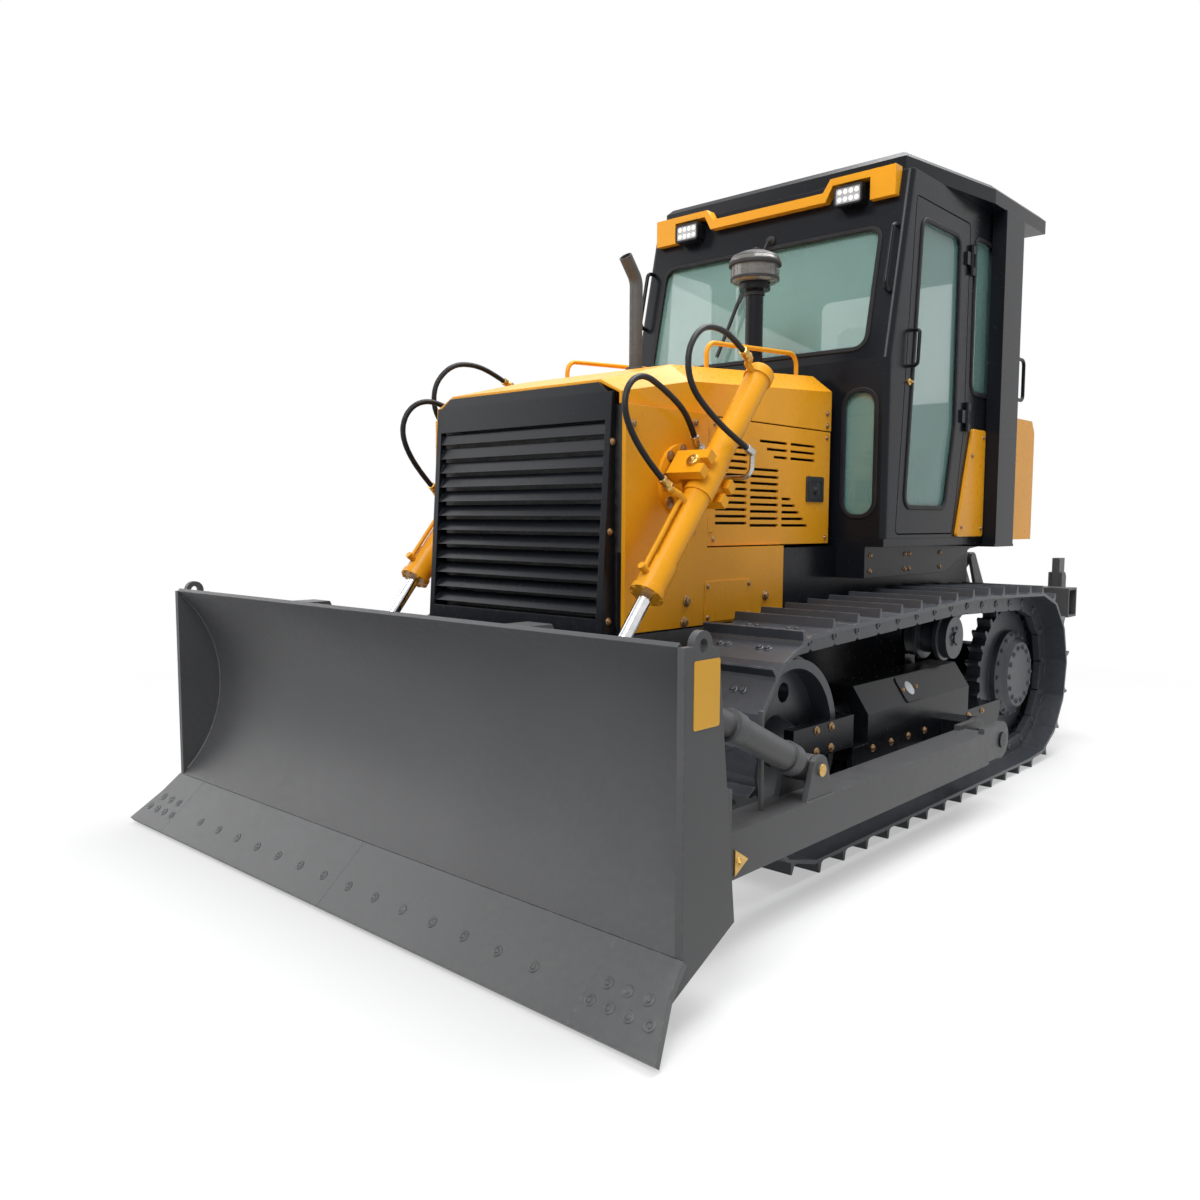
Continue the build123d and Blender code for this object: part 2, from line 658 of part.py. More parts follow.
def track_frame():
    """Roller frame: a box with side plates that hold the roller shafts, and what stands on it."""
    half = FRAME_WIDTH / 2
    shapes = [block((TRACK_X - half, TRACK_X + half), (FRAME_FRONT_Y, FRAME_REAR_Y),
                    (FRAME_BOX_BOTTOM, FRAME_TOP))]
    tail = FRAME_REAR_Y + FRAME_TAIL
    side = [(FRAME_FRONT_Y, FRAME_LOW), (FRAME_REAR_Y, FRAME_LOW), (tail, FRAME_BOX_BOTTOM),
            (tail, FRAME_TOP), (FRAME_FRONT_Y, FRAME_TOP)]
    for x in (TRACK_X - half, TRACK_X + half - FRAME_SIDE):
        shapes.append(plate_yz(side, x, x + FRAME_SIDE))
    carrier = (CARRIER_Y - CARRIER_FOOT, CARRIER_Y + CARRIER_FOOT)
    shapes.append(block((TRACK_X - half, TRACK_X - half + FRAME_SIDE), carrier, (FRAME_TOP, CARRIER_Z + 50)))
    return fused(shapes + [spring_cover(), trunnion()] + idler_fork())


def running_gear():
    """All pieces of the left track and their mirror images."""
    add_pair("track", track())
    add_both("sprockets", sprocket())
    wheels = [roller(y, ROLLER_Z, ROLLER_RADIUS) for y in ROLLER_YS]
    wheels += [idler(), roller(CARRIER_Y, CARRIER_Z - CARRIER_DROP, CARRIER_RADIUS)]
    add_both("track_wheels", *wheels)
    add_both("track_frames", track_frame())


# Cross beams from track frame to track frame. Columns: y span, z span
CROSS_BEAMS = [((-160.0, 40.0), (460.0, SPRING_COVER_SHOULDER)),
               ((880.0, 1040.0), (HULL_BOTTOM, FRAME_TOP + 60))]
# Heavy blocks inside the hull. Columns: half width, y span, top
POWER_BLOCKS = [(300.0, (-1080.0, -60.0), 1820.0), (390.0, (900.0, 1700.0), 1240.0)]
HULL_RISE = HULL_STEP_Z + HULL_HALF_WIDTH - HULL_LOW_HALF_WIDTH


def hull():
    """Main frame: an open tub, narrow between the tracks and wide above them, with its rear wall."""
    w, n, t = HULL_HALF_WIDTH, HULL_LOW_HALF_WIDTH, HULL_PLATE
    outer = [(n, HULL_BOTTOM), (n, HULL_STEP_Z), (w, HULL_RISE), (w, HULL_TOP)]
    inner = [(w - t, HULL_TOP), (w - t, HULL_RISE + t / 2), (n - t, HULL_STEP_Z + t / 2),
             (n - t, HULL_BOTTOM + t)]
    right = outer + inner
    tub = plate_xz(right + [(-x, z) for x, z in reversed(right)], HULL_FRONT_Y, HULL_REAR_Y)
    rear = (HULL_REAR_Y - t, HULL_REAR_Y)
    tub += block((-w + t / 2, w - t / 2), rear, (HULL_RISE, HULL_TOP))
    return tub + block((-n + t / 2, n - t / 2), rear, (HULL_BOTTOM, HULL_RISE))


def hull_parts():
    """Hull, what hangs on it and the heavy blocks inside it."""
    drive_end = TRACK_X - LINK_INSET + SPROCKET_GAP
    drive = cross_bar(SPROCKET_Y, SPROCKET_Z, FINAL_DRIVE_RADIUS, HULL_LOW_HALF_WIDTH, drive_end)
    add_both("final_drives", drive)
    beams = []
    for ys, zs in CROSS_BEAMS:
        beam = block((HULL_LOW_HALF_WIDTH - 5, TRACK_X - FRAME_WIDTH / 2), ys, zs)
        beams += [beam, mirrored(beam)]
    add("main_frame", fused([hull()] + beams + rear_lugs()))
    belly = HULL_BOTTOM + HULL_PLATE
    add("powertrain", *[block((-half, half), ys, (belly, top)) for half, ys, top in POWER_BLOCKS])


# Hood stations. Columns: y, height of the bevel's lower edge, height of the top
HOOD_STATIONS = [(-1590.0, 1922.0, 1975.0), (-1150.0, 2003.0, 2083.0), (HOOD_REAR_Y, 2071.0, 2158.0)]
BEVEL_SHARE = 0.4             # how much of the sheet's thickness a bevel's corner moves in


def hood_section(station, inset, bottom):
    """Front-view outline of the hood's top at one station, moved in by the sheet's thickness."""
    y, edge, top = station
    w, n = HOOD_HALF_WIDTH - inset, HOOD_TOP_HALF_WIDTH - inset * BEVEL_SHARE
    half = [(w, bottom), (w, edge - inset * BEVEL_SHARE), (n, top - inset)]
    points = half + [(-x, z) for x, z in reversed(half)]
    return make_face(Polyline(*[(x, y, z) for x, z in points], close=True))


def hood_form(inset=0.0, drop=0.0):
    """The hood's top as a filled block."""
    bottom = HOOD_BAND_Z - drop
    parts = []
    for a, b in zip(HOOD_STATIONS, HOOD_STATIONS[1:]):
        parts.append(loft([hood_section(a, inset, bottom), hood_section(b, inset, bottom)], ruled=True))
    return fused(parts)


SIDE_HINGE_HALF = 70.0        # half height of an engine door's whole hinge
SIDE_KNUCKLE_HALF = 35.0      # half height of the door's own knuckle
SIDE_AXIS = (HOOD_HALF_WIDTH + SIDE_HINGE_OUT, SIDE_DOOR_FRONT_Y + SIDE_HINGE_BACK)
SIDE_DOOR_ZS = (SIDE_DOOR_BOTTOM + SEAM, HOOD_BAND_Z - SEAM)
SIDE_HINGE_ZS = (SIDE_DOOR_ZS[0] + SIDE_HINGE_INSET, SIDE_DOOR_ZS[1] - SIDE_HINGE_INSET)


def nose_plate():
    """Thick side plate beside the radiator, stepped under the engine's side door, with its hinge halves."""
    w = HOOD_HALF_WIDTH
    low = HULL_RISE + 10
    outline = [(HULL_FRONT_Y, low), (NOSE_REAR_Y, low), (NOSE_REAR_Y, SIDE_DOOR_BOTTOM),
               (SIDE_DOOR_FRONT_Y, SIDE_DOOR_BOTTOM), (SIDE_DOOR_FRONT_Y, HOOD_BAND_Z),
               (HULL_FRONT_Y, HOOD_BAND_Z)]
    plate = plate_yz(outline, w, w + HULL_PLATE)
    x, y = SIDE_AXIS
    r, reach, gap = SIDE_KNUCKLE, SIDE_HINGE_HALF, SIDE_KNUCKLE_HALF + 1
    for z in SIDE_HINGE_ZS:
        plate += bar((x, y, z - reach), (x, y, z + reach), SIDE_PIN)
        for z0, z1 in ((z - reach, z - gap), (z + gap, z + reach)):
            plate += bar((x, y, z0), (x, y, z1), r)
            plate += block((x - r, x + r), (SIDE_DOOR_FRONT_Y - 4, y), (z0, z1))
    return plate


# Columns of louvre slots in an engine side door: front y, rear y, lowest z, highest z, slots,
# how much shorter the top slot's rear end and the bottom slot's front end are
LOUVRES = [(-967.0, -728.0, 1415.0, 1750.0, 12, 0.0, 0.0),
           (-700.0, -467.0, 1405.0, 1660.0, 9, 0.0, 0.0),
           (-435.0, -201.0, 1405.0, 1530.0, 5, 155.0, 0.0),
           (-629.0, -395.0, 1722.0, 1790.0, 3, 0.0, 118.0),
           (-366.0, -142.0, 1722.0, 1790.0, 3, 0.0, 0.0)]
LOUVRE_HEIGHT = 12.0


def side_door():
    """Engine side door with louvre slots and its hinge knuckles."""
    w = HOOD_HALF_WIDTH
    door = block((w - HOOD_SHEET, w), (SIDE_DOOR_FRONT_Y + SEAM, HOOD_REAR_Y - SEAM), SIDE_DOOR_ZS)
    for front, rear, low, high, slots, top_cut, bottom_cut in LOUVRES:
        for k in range(slots):
            share = k / (slots - 1)
            z = low + (high - low) * share
            ys = (front + bottom_cut * (1 - share), rear - top_cut * share)
            door -= block((w - HOOD_SHEET - 1, w + 1), ys, (z - LOUVRE_HEIGHT / 2, z + LOUVRE_HEIGHT / 2))
    x, y = SIDE_AXIS
    half = SIDE_KNUCKLE_HALF
    for z in SIDE_HINGE_ZS:
        door += bar((x, y, z - half), (x, y, z + half), SIDE_KNUCKLE)
        door += block((w, x), (y, y + 46), (z - half + 5, z + half - 5))
        door -= bar((x, y, z - half - 1), (x, y, z + half + 1), SIDE_PIN + PIVOT_CLEARANCE)
    return door


SLAT_TILT = 40.0              # how far a slat leans back
SLAT_HALF_HEIGHT = 24.0
SLAT_SHEET = 8.0


def grille():
    """Black front guard: a raked frame round a column of slats."""
    y0 = HULL_FRONT_Y - 5
    w, t = GRILLE_HALF_WIDTH, GRILLE_SIDE
    low, high = y0 - GRILLE_DEPTH_LOW, y0 - GRILLE_DEPTH_HIGH
    shoulder = GRILLE_TOP - GRILLE_SHOULDER
    cap_z, sill_z = GRILLE_TOP - GRILLE_CAP, GRILLE_BOTTOM + GRILLE_SILL

    def lean(z):
        return low + (high - low) * (z - GRILLE_BOTTOM) / (shoulder - GRILLE_BOTTOM)

    side = [(y0, GRILLE_BOTTOM), (low, GRILLE_BOTTOM), (high, shoulder), (y0, shoulder)]
    guard = plate_yz(side, w - t, w) + plate_yz(side, -w, -w + t)
    head = [(y0, cap_z), (lean(cap_z), cap_z), (high, shoulder), (high + 6, GRILLE_TOP), (y0, GRILLE_TOP)]
    half = [(w, cap_z), (w, GRILLE_TOP - 60), (HOOD_TOP_HALF_WIDTH, GRILLE_TOP)]
    trim = plate_xz(half + [(-x, z) for x, z in reversed(half)], y0 - 2 * GRILLE_DEPTH_LOW, y0)
    guard += plate_yz(head, -w, w) & trim
    guard += plate_yz([(y0, GRILLE_BOTTOM), (low, GRILLE_BOTTOM), (lean(sill_z), sill_z), (y0, sill_z)],
                      -w, w)
    first, last = sill_z + 45, cap_z - 30
    for k in range(SLAT_COUNT):
        z = first + (last - first) * k / (SLAT_COUNT - 1)
        front = lean(z) + 2
        rear = min(front + SLAT_TILT, y0 - SLAT_SHEET - 2)
        slat = [(front, z - SLAT_HALF_HEIGHT), (front + SLAT_SHEET, z - SLAT_HALF_HEIGHT),
                (rear + SLAT_SHEET, z + SLAT_HALF_HEIGHT), (rear, z + SLAT_HALF_HEIGHT)]
        guard += plate_yz(slat, -w + t / 2, w - t / 2)
    return guard


EXHAUST_BEND = (90.0, 82.0, 100.0)  # its radius, and how far the outlet points forward and up
EXHAUST_WALL = 5.0


def exhaust():
    """Exhaust pipe with a collar at its foot and a cut-off outlet that points forward."""
    x, y = EXHAUST_AT
    bend, forward, up = EXHAUST_BEND
    root, tip = (x, y, HOOD_BAND_Z + 20), (x, y - forward, EXHAUST_TOP)
    pipe = pipe_along([root, (x, y, EXHAUST_TOP - up), tip], bend, EXHAUST_RADIUS)
    inside = (x, y - forward * 0.4, EXHAUST_TOP - up * 0.6)
    outside = (x, y - forward * 1.1, EXHAUST_TOP + up * 0.1)
    pipe -= bar(inside, outside, EXHAUST_RADIUS - EXHAUST_WALL)
    return pipe + bar(root, (x, y, HOOD_STATIONS[-1][2] + 12), EXHAUST_COLLAR)


# The pre-cleaner's half section. Columns: radius, height above the pipe
BOWL = [(0, 0), (104, 0), (114, 12), (114, 78), (124, 84), (124, 100), (112, 122), (70, 142), (0, 150)]
# The intake pipe's steps. Columns: radius, foot and head as heights over the hood's top and under the bowl
INTAKE_COLLAR = (62.0, 2.0)
INTAKE_CUP = (75.0, 35.0)


def intake():
    """Air intake pipe with a collar at its foot and a cup under the bowl."""
    x, y = INTAKE_AT
    root, top = (x, y, HOOD_BAND_Z + 20), (x, y, INTAKE_TOP)
    stem = bar(root, top, INTAKE_RADIUS)
    stem += bar((x, y, INTAKE_TOP - INTAKE_CUP[1]), top, INTAKE_CUP[0])
    return stem + bar(root, (x, y, HOOD_STATIONS[-1][2] + INTAKE_COLLAR[1]), INTAKE_COLLAR[0])


def nose_parts():
    """Grille, radiator, hood, exhaust, air intake and grab rails."""
    form = hood_form()
    add("hood", form - hood_form(HOOD_SHEET, 5.0))
    add_both("nose_plates", nose_plate())
    add_pair("engine_door", side_door())
    add("grille", grille())
    core = HULL_HALF_WIDTH - HULL_PLATE
    add("radiator_core", block((-core, core), (HULL_FRONT_Y + 25, HULL_FRONT_Y + 115),
                               (HULL_RISE + 30, HOOD_BAND_Z)))
    add("exhaust_stack", exhaust() - form)
    add("intake_pipe", intake() - form)
    x, y = INTAKE_AT
    face = make_face(Polyline(*[(x + r, y, INTAKE_TOP + h) for r, h in BOWL], close=True))
    add("precleaner", revolve(face, axis=Axis((x, y, 0), (0, 0, 1))))
    root = HOOD_BAND_Z + 20
    rail = pipe_along([(RAIL_X, RAIL_FRONT_Y, root), (RAIL_X, RAIL_FRONT_Y, RAIL_FRONT_Z),
                       (RAIL_X, RAIL_REAR_Y, RAIL_REAR_Z), (RAIL_X, RAIL_REAR_Y, root)], RAIL_BEND,
                       RAIL_RADIUS)
    add_both("hood_rails", rail - form)


# Cab
FRONT_ZS = (CAB_FLOOR_TOP, WINDSHIELD_BREAK_Z, CAB_TOP)
DOOR_BOTTOM = CAB_FLOOR_TOP + DOOR_SILL
DOOR_TOP = CAB_TOP - DOOR_HEADER
SHIELD_HALF = CAB_HALF_WIDTH - WINDSHIELD_PILLAR
LOW_WINDOW_X = CAB_HALF_WIDTH - LOW_WINDOW_PILLAR
LOW_WINDOW_ZS = (CAB_FLOOR_TOP + LOW_WINDOW_SILL, WINDSHIELD_BREAK_Z - LOW_WINDOW_HEADER)
SHIELD_ZS = (WINDSHIELD_BREAK_Z + WINDSHIELD_SILL, CAB_TOP - WINDSHIELD_HEADER)
# Windows of the front wall. Columns: x span, z span, corner radius
FRONT_WINDOWS = [((-SHIELD_HALF, SHIELD_HALF), SHIELD_ZS, SHIELD_CORNER),
                 ((LOW_WINDOW_X - LOW_WINDOW_WIDTH, LOW_WINDOW_X), LOW_WINDOW_ZS, LOW_WINDOW_CORNER),
                 ((-LOW_WINDOW_X, LOW_WINDOW_WIDTH - LOW_WINDOW_X), LOW_WINDOW_ZS, LOW_WINDOW_CORNER)]
REAR_WINDOW = ((REAR_WINDOW_PILLAR - CAB_HALF_WIDTH, CAB_HALF_WIDTH - REAR_WINDOW_PILLAR),
               (TANK_TOP + REAR_WINDOW_SILL, CAB_TOP - REAR_WINDOW_HEADER), SHIELD_CORNER)
LAMP_X = CAB_HALF_WIDTH - LAMP_INSET
LAMP_Z = CAB_TOP - LAMP_DROP
# Door window: how far each of its corners is from the door's corner
WINDOW_INSETS = [(85.0, 134.0), (-106.0, 134.0), (-124.0, 10.0), (-124.0, -94.0), (68.0, -94.0)]
QUARTER_YS = (DOOR_REAR_Y + QUARTER_FRONT, DOOR_REAR_Y + QUARTER_FRONT + QUARTER_LENGTH)
QUARTER_ZS = (DOOR_KINK_Z + QUARTER_SILL, CAB_TOP - QUARTER_HEADER)
QUARTER_WINDOW = [(QUARTER_YS[0], QUARTER_ZS[0]), (QUARTER_YS[1], QUARTER_ZS[0]),
                  (QUARTER_YS[1], QUARTER_ZS[1]), (QUARTER_YS[0], QUARTER_ZS[1])]
HINGE_ZS = (HINGE_LOW_Z, CAB_TOP - HINGE_HIGH_DROP)
HINGE_X = CAB_HALF_WIDTH + HINGE_OFFSET
ROOF_FRONT_Y = CAB_FRONT_Y + WINDSHIELD_LEAN + ROOF_SETBACK


def cab_front_y(z):
    """Outer face of the front wall at a height."""
    lean = max(0.0, z - WINDSHIELD_BREAK_Z) / (CAB_TOP - WINDSHIELD_BREAK_Z)
    return CAB_FRONT_Y + WINDSHIELD_LEAN * lean


def cab_form():
    """The cab as a filled block behind its front face, as a cutter."""
    rows = [(cab_front_y(z), z) for z in FRONT_ZS]
    return plate_yz(rows + [(CAB_REAR_Y, CAB_TOP), (CAB_REAR_Y, CAB_FLOOR_TOP)], -CAB_HALF_WIDTH,
                    CAB_HALF_WIDTH)


def front_sheet(offset, thickness):
    """The front wall's bent sheet, moved back by offset."""
    rows = [(cab_front_y(z) + offset, z) for z in FRONT_ZS]
    points = rows + [(y + thickness, z) for y, z in reversed(rows)]
    return plate_yz(points, -CAB_HALF_WIDTH, CAB_HALF_WIDTH)


def front_wall():
    """Front wall with rounded upright edges, its windows cut, and the panes for them."""
    wall = front_sheet(0, CAB_WALL)
    upright = []
    for edge in wall.edges():
        middle = edge.center()
        if abs(abs(middle.X) - CAB_HALF_WIDTH) < 1 and abs(middle.Y - cab_front_y(middle.Z)) < 1:
            upright.append(edge)
    wall = fillet(upright, CAB_CORNER)
    panes = []
    for xs, zs, r in FRONT_WINDOWS:
        hole = slot_xz(xs, zs, r, CAB_FRONT_Y - 50, CAB_FRONT_Y + WINDSHIELD_LEAN + CAB_WALL + 50)
        wall -= hole
        panes.append(front_sheet(CAB_WALL / 2, GLASS) & hole)
    return wall, panes


def rear_wall():
    """Rear wall with its window cut, and the pane for it."""
    w, t = CAB_HALF_WIDTH, CAB_WALL
    wall = block((-w, w), (CAB_REAR_Y - t, CAB_REAR_Y), (CAB_FLOOR_TOP, CAB_TOP))
    wall -= slot_xz(*REAR_WINDOW, CAB_REAR_Y - t - 5, CAB_REAR_Y + 5)
    return wall, slot_xz(*REAR_WINDOW, CAB_REAR_Y - t / 2, CAB_REAR_Y - t / 2 + GLASS)


def door_outline(gap):
    """Side-view outline of the cab door, grown by gap."""
    rear = DOOR_REAR_Y - SEAM + gap
    return [(DOOR_FRONT_LOW_Y - gap, DOOR_BOTTOM - gap), (DOOR_REAR_LOW_Y + gap, DOOR_BOTTOM - gap),
            (rear, DOOR_KINK_Z), (rear, DOOR_TOP + gap), (DOOR_FRONT_HIGH_Y - gap, DOOR_TOP + gap)]


DOOR_WINDOW = [(y + dy, z + dz) for (y, z), (dy, dz) in zip(door_outline(0), WINDOW_INSETS)]


def side_wall():
    """Left cab wall with its door opening, the window behind it and its hinge halves."""
    x0, x1 = CAB_HALF_WIDTH - CAB_WALL, CAB_HALF_WIDTH
    t = CAB_WALL
    outline = [(CAB_FRONT_Y + t, CAB_FLOOR_TOP), (CAB_REAR_Y - t, CAB_FLOOR_TOP), (CAB_REAR_Y - t, CAB_TOP),
               (CAB_FRONT_Y + WINDSHIELD_LEAN + t, CAB_TOP), (CAB_FRONT_Y + t, WINDSHIELD_BREAK_Z)]
    wall = plate_yz(outline, x0, x1)
    wall -= outline_yz(door_outline(SEAM), DOOR_CORNER + SEAM, x0 - 1, x1 + 1)
    wall -= outline_yz(QUARTER_WINDOW, WINDOW_CORNER, x0 - 1, x1 + 1)
    gap = HINGE_KNUCKLE + 1
    for z in HINGE_ZS:
        wall += bar((HINGE_X, DOOR_REAR_Y, z - HINGE_HALF), (HINGE_X, DOOR_REAR_Y, z + HINGE_HALF), HINGE_PIN)
        for z0, z1 in ((z - HINGE_HALF, z - gap), (z + gap, z + HINGE_HALF)):
            wall += bar((HINGE_X, DOOR_REAR_Y, z0), (HINGE_X, DOOR_REAR_Y, z1), HINGE_RADIUS)
            wall += block((x1 - 1, HINGE_X), (DOOR_REAR_Y, DOOR_REAR_Y + HINGE_LEAF), (z0, z1))
    return wall


def cab_door():
    """Door frame with a large window, hinge knuckles at its rear edge and a handle on its front stile."""
    x0, x1 = CAB_HALF_WIDTH - CAB_WALL, CAB_HALF_WIDTH
    door = outline_yz(door_outline(0), DOOR_CORNER, x0, x1)
    door -= outline_yz(DOOR_WINDOW, WINDOW_CORNER, x0 - 1, x1 + 1)
    half = HINGE_KNUCKLE
    for z in HINGE_ZS:
        door += bar((HINGE_X, DOOR_REAR_Y, z - half), (HINGE_X, DOOR_REAR_Y, z + half), HINGE_RADIUS)
        door += block((x1 - 1, HINGE_X), (DOOR_REAR_Y - 60, DOOR_REAR_Y), (z - half, z + half))
        door -= bar((HINGE_X, DOOR_REAR_Y, z - half - 1), (HINGE_X, DOOR_REAR_Y, z + half + 1),
                    HINGE_PIN + PIVOT_CLEARANCE)
    grip = []
    for z in (HANDLE_Z - HANDLE_HALF, HANDLE_Z + HANDLE_HALF):
        share = (z - DOOR_BOTTOM) / (DOOR_TOP - DOOR_BOTTOM)
        grip.append((DOOR_FRONT_LOW_Y + (DOOR_FRONT_HIGH_Y - DOOR_FRONT_LOW_Y) * share + 38, z))
    (ya, za), (yb, zb) = grip
    out = x1 + HANDLE_REACH
    return door + pipe_along([(x1 - 1, ya, za), (out, ya, za), (out, yb, zb), (x1 - 1, yb, zb)], 20,
                             HANDLE_RADIUS)


def cab_floor():
    """Floor with the skirts that close the space over the tracks."""
    w, step = CAB_HALF_WIDTH, CAB_FLOOR_BOTTOM + 5
    floor = block((-w, w), (CAB_FRONT_Y, CAB_REAR_Y), (CAB_FLOOR_BOTTOM, CAB_FLOOR_TOP))
    flat_end = CAB_FRONT_Y + CAB_SKIRT_FLAT
    outline = [(CAB_FRONT_Y, CAB_SKIRT_Z), (flat_end, CAB_SKIRT_Z),
               (flat_end + CAB_SKIRT_RAMP, CAB_FLOOR_BOTTOM - CAB_SKIRT_LIP),
               (CAB_REAR_Y, CAB_FLOOR_BOTTOM), (CAB_REAR_Y, step), (CAB_FRONT_Y, step)]
    skirt = plate_yz(outline, HULL_HALF_WIDTH, CAB_SKIRT_HALF_WIDTH)
    return floor + skirt + mirrored(skirt)


def cab_roof():
    """Thick roof slab that widens over the rear posts."""
    front, wide = CAB_HALF_WIDTH - ROOF_INSET, CAB_HALF_WIDTH + ROOF_OVERHANG
    rear = CAB_REAR_Y + ROOF_TAIL
    right = [(front, ROOF_FRONT_Y), (wide, ROOF_WIDE_Y), (wide, rear)]
    roof = plate_xy(right + [(-x, y) for x, y in reversed(right)], CAB_TOP, CAB_TOP + ROOF_THICKNESS)
    return chamfer(roof.faces().sort_by(Axis.Z)[-1].edges(), ROOF_BEVEL)


def rear_post():
    """Roof post beside the cab, on a foot."""
    outer = CAB_HALF_WIDTH + POST_GAP + POST_WIDTH
    post = block((outer - POST_WIDTH, outer), (POST_FRONT_Y, POST_REAR_Y), (CAB_FLOOR_BOTTOM, CAB_TOP))
    foot = (CAB_SKIRT_HALF_WIDTH + 2, outer)
    return post + block(foot, (POST_FRONT_Y - 10, POST_REAR_Y + 10),
                        (CAB_FLOOR_BOTTOM - POST_FOOT, CAB_FLOOR_BOTTOM))


def rear_tank():
    """Tank behind the cab, bevelled at its top and rounded at its rear corners."""
    half = CAB_HALF_WIDTH - TANK_INSET
    back, down = TANK_BEVEL
    outline = [(CAB_REAR_Y, TANK_BOTTOM), (TANK_REAR_Y, TANK_BOTTOM), (TANK_REAR_Y, TANK_TOP - down),
               (TANK_REAR_Y - back, TANK_TOP), (CAB_REAR_Y, TANK_TOP)]
    tank = plate_yz(outline, -half, half)
    return fillet(tank.edges().filter_by(Axis.Z).sort_by(Axis.Y)[-2:], 50)


def visor():
    """Yellow band over the windshield that arches over the two lamps."""
    foot, head = (LAMP_X - inward for inward in VISOR_RAMP)
    leg, side = LAMP_X + VISOR_LEG_OUT, CAB_HALF_WIDTH - VISOR_INSET
    band_low, band_high = (CAB_TOP - drop for drop in VISOR_BAND)
    arch_low, arch_high = (CAB_TOP - drop for drop in VISOR_ARCH)
    leg_low = CAB_TOP - VISOR_LEG
    half = [(foot, band_low), (head, arch_low), (leg, arch_low), (leg, leg_low), (side, leg_low),
            (side, arch_high), (head - VISOR_STEP, arch_high), (foot - VISOR_STEP, band_high)]
    points = half + [(-x, z) for x, z in reversed(half)]
    wall_y = cab_front_y(CAB_TOP)
    return plate_xz(points, wall_y - VISOR_DEPTH, wall_y)


def lamp():
    """Left work lamp: its housing on a stay, and its lens."""
    width, depth, height = LAMP_SIZE
    front = cab_front_y(CAB_TOP) - VISOR_DEPTH - LAMP_FORWARD
    xs, zs = (LAMP_X - width / 2, LAMP_X + width / 2), (LAMP_Z - height / 2, LAMP_Z + height / 2)
    housing = slot_xz(xs, zs, LAMP_CORNER, front, front + depth)
    glass_xs, glass_zs = (xs[0] + LENS_RIM, xs[1] - LENS_RIM), (zs[0] + LENS_RIM, zs[1] - LENS_RIM)
    glass_front, glass_rear = front + LENS_SINK, front + LENS_SINK + LENS_DEPTH
    lens = slot_xz(glass_xs, glass_zs, LENS_CORNER, glass_front, glass_rear)
    pocket = slot_xz(glass_xs, glass_zs, LENS_CORNER, front - 1, glass_rear)
    stay = block((LAMP_X - LAMP_STAY, LAMP_X + LAMP_STAY), (front + depth - 5, CAB_REAR_Y),
                 (LAMP_Z - LAMP_STAY, LAMP_Z + LAMP_STAY))
    return housing - pocket + stay, lens


def grab_bars():
    """Left grab bars: one on the front pillar and one on the rear wall."""
    x = CAB_HALF_WIDTH - GRAB_INSET
    low_z, high_z = CAB_TOP - GRAB_LOW, CAB_TOP - GRAB_HIGH
    low, high = cab_front_y(low_z), cab_front_y(high_z)
    front = pipe_along([(x, low + CAB_WALL, low_z), (x, low - GRAB_REACH, low_z),
                        (x, high - GRAB_REACH, high_z), (x, high + CAB_WALL, high_z)], GRAB_BEND, GRAB_RADIUS)
    far = CAB_REAR_Y + REAR_GRAB_REACH
    low_z, high_z = TANK_TOP + REAR_GRAB_LOW, TANK_TOP + REAR_GRAB_HIGH
    rear = pipe_along([(x, CAB_REAR_Y, low_z), (x, far, low_z), (x, far, high_z), (x, CAB_REAR_Y, high_z)],
                      GRAB_BEND, GRAB_RADIUS)
    return front, rear


# Seat back: its front at the foot, and how far it leans back at the top
SEAT_BACK_Y = SEAT_REAR_Y - 30.0
SEAT_LEAN = 70.0
SEAT_BACK_LOW = SEAT_PAN_Z + SEAT_CUSHION + 5.0


def seat_parts():
    """Seat base with its back shell, a cushion and a back."""
    w = SEAT_HALF_WIDTH
    slope = SEAT_LEAN / (SEAT_TOP - SEAT_BACK_LOW)

    def shell_y(z):
        return SEAT_BACK_Y + SEAT_BACK + slope * (z - SEAT_BACK_LOW)

    pan_low, shell_top = SEAT_PAN_Z - SEAT_PAN, SEAT_TOP - 60
    base = block((-180, 180), (SEAT_FRONT_Y + 40, SEAT_REAR_Y - 40), (CAB_FLOOR_TOP, pan_low))
    base += block((-w, w), (SEAT_FRONT_Y, shell_y(pan_low) + 10), (pan_low, SEAT_PAN_Z))
    shell = [(shell_y(pan_low), pan_low), (shell_y(pan_low) + SEAT_PAN, pan_low),
             (shell_y(shell_top) + SEAT_PAN, shell_top), (shell_y(shell_top), shell_top)]
    add("seat", base + plate_yz(shell, -w + 20, w - 20))
    cushion = block((-w, w), (SEAT_FRONT_Y, SEAT_REAR_Y), (SEAT_PAN_Z, SEAT_PAN_Z + SEAT_CUSHION))
    add("seat_cushion", fillet(cushion.edges(), SEAT_ROUND))
    back = plate_yz([(SEAT_BACK_Y, SEAT_BACK_LOW), (shell_y(SEAT_BACK_LOW), SEAT_BACK_LOW),
                     (shell_y(SEAT_TOP), SEAT_TOP), (SEAT_BACK_Y + SEAT_LEAN, SEAT_TOP)], -w + 10, w - 10)
    add("seat_back", fillet(back.edges(), SEAT_ROUND))


# Floor levers. Columns: foot's distance from the cab's side, y, head's distance from it, y, z
FLOOR_LEVERS = [(220.0, 300.0, 200.0, 360.0, 1900.0), (160.0, 330.0, 130.0, 400.0, 1960.0)]
# Levers on the side boxes. Columns: foot x, y, head x, y, z
SIDE_LEVERS = [(440.0, 800.0, 440.0, 760.0, 1960.0)]
SIDE_BOX = ((300.0, 470.0), (720.0, 1180.0), 1770.0)   # x span, y span, top


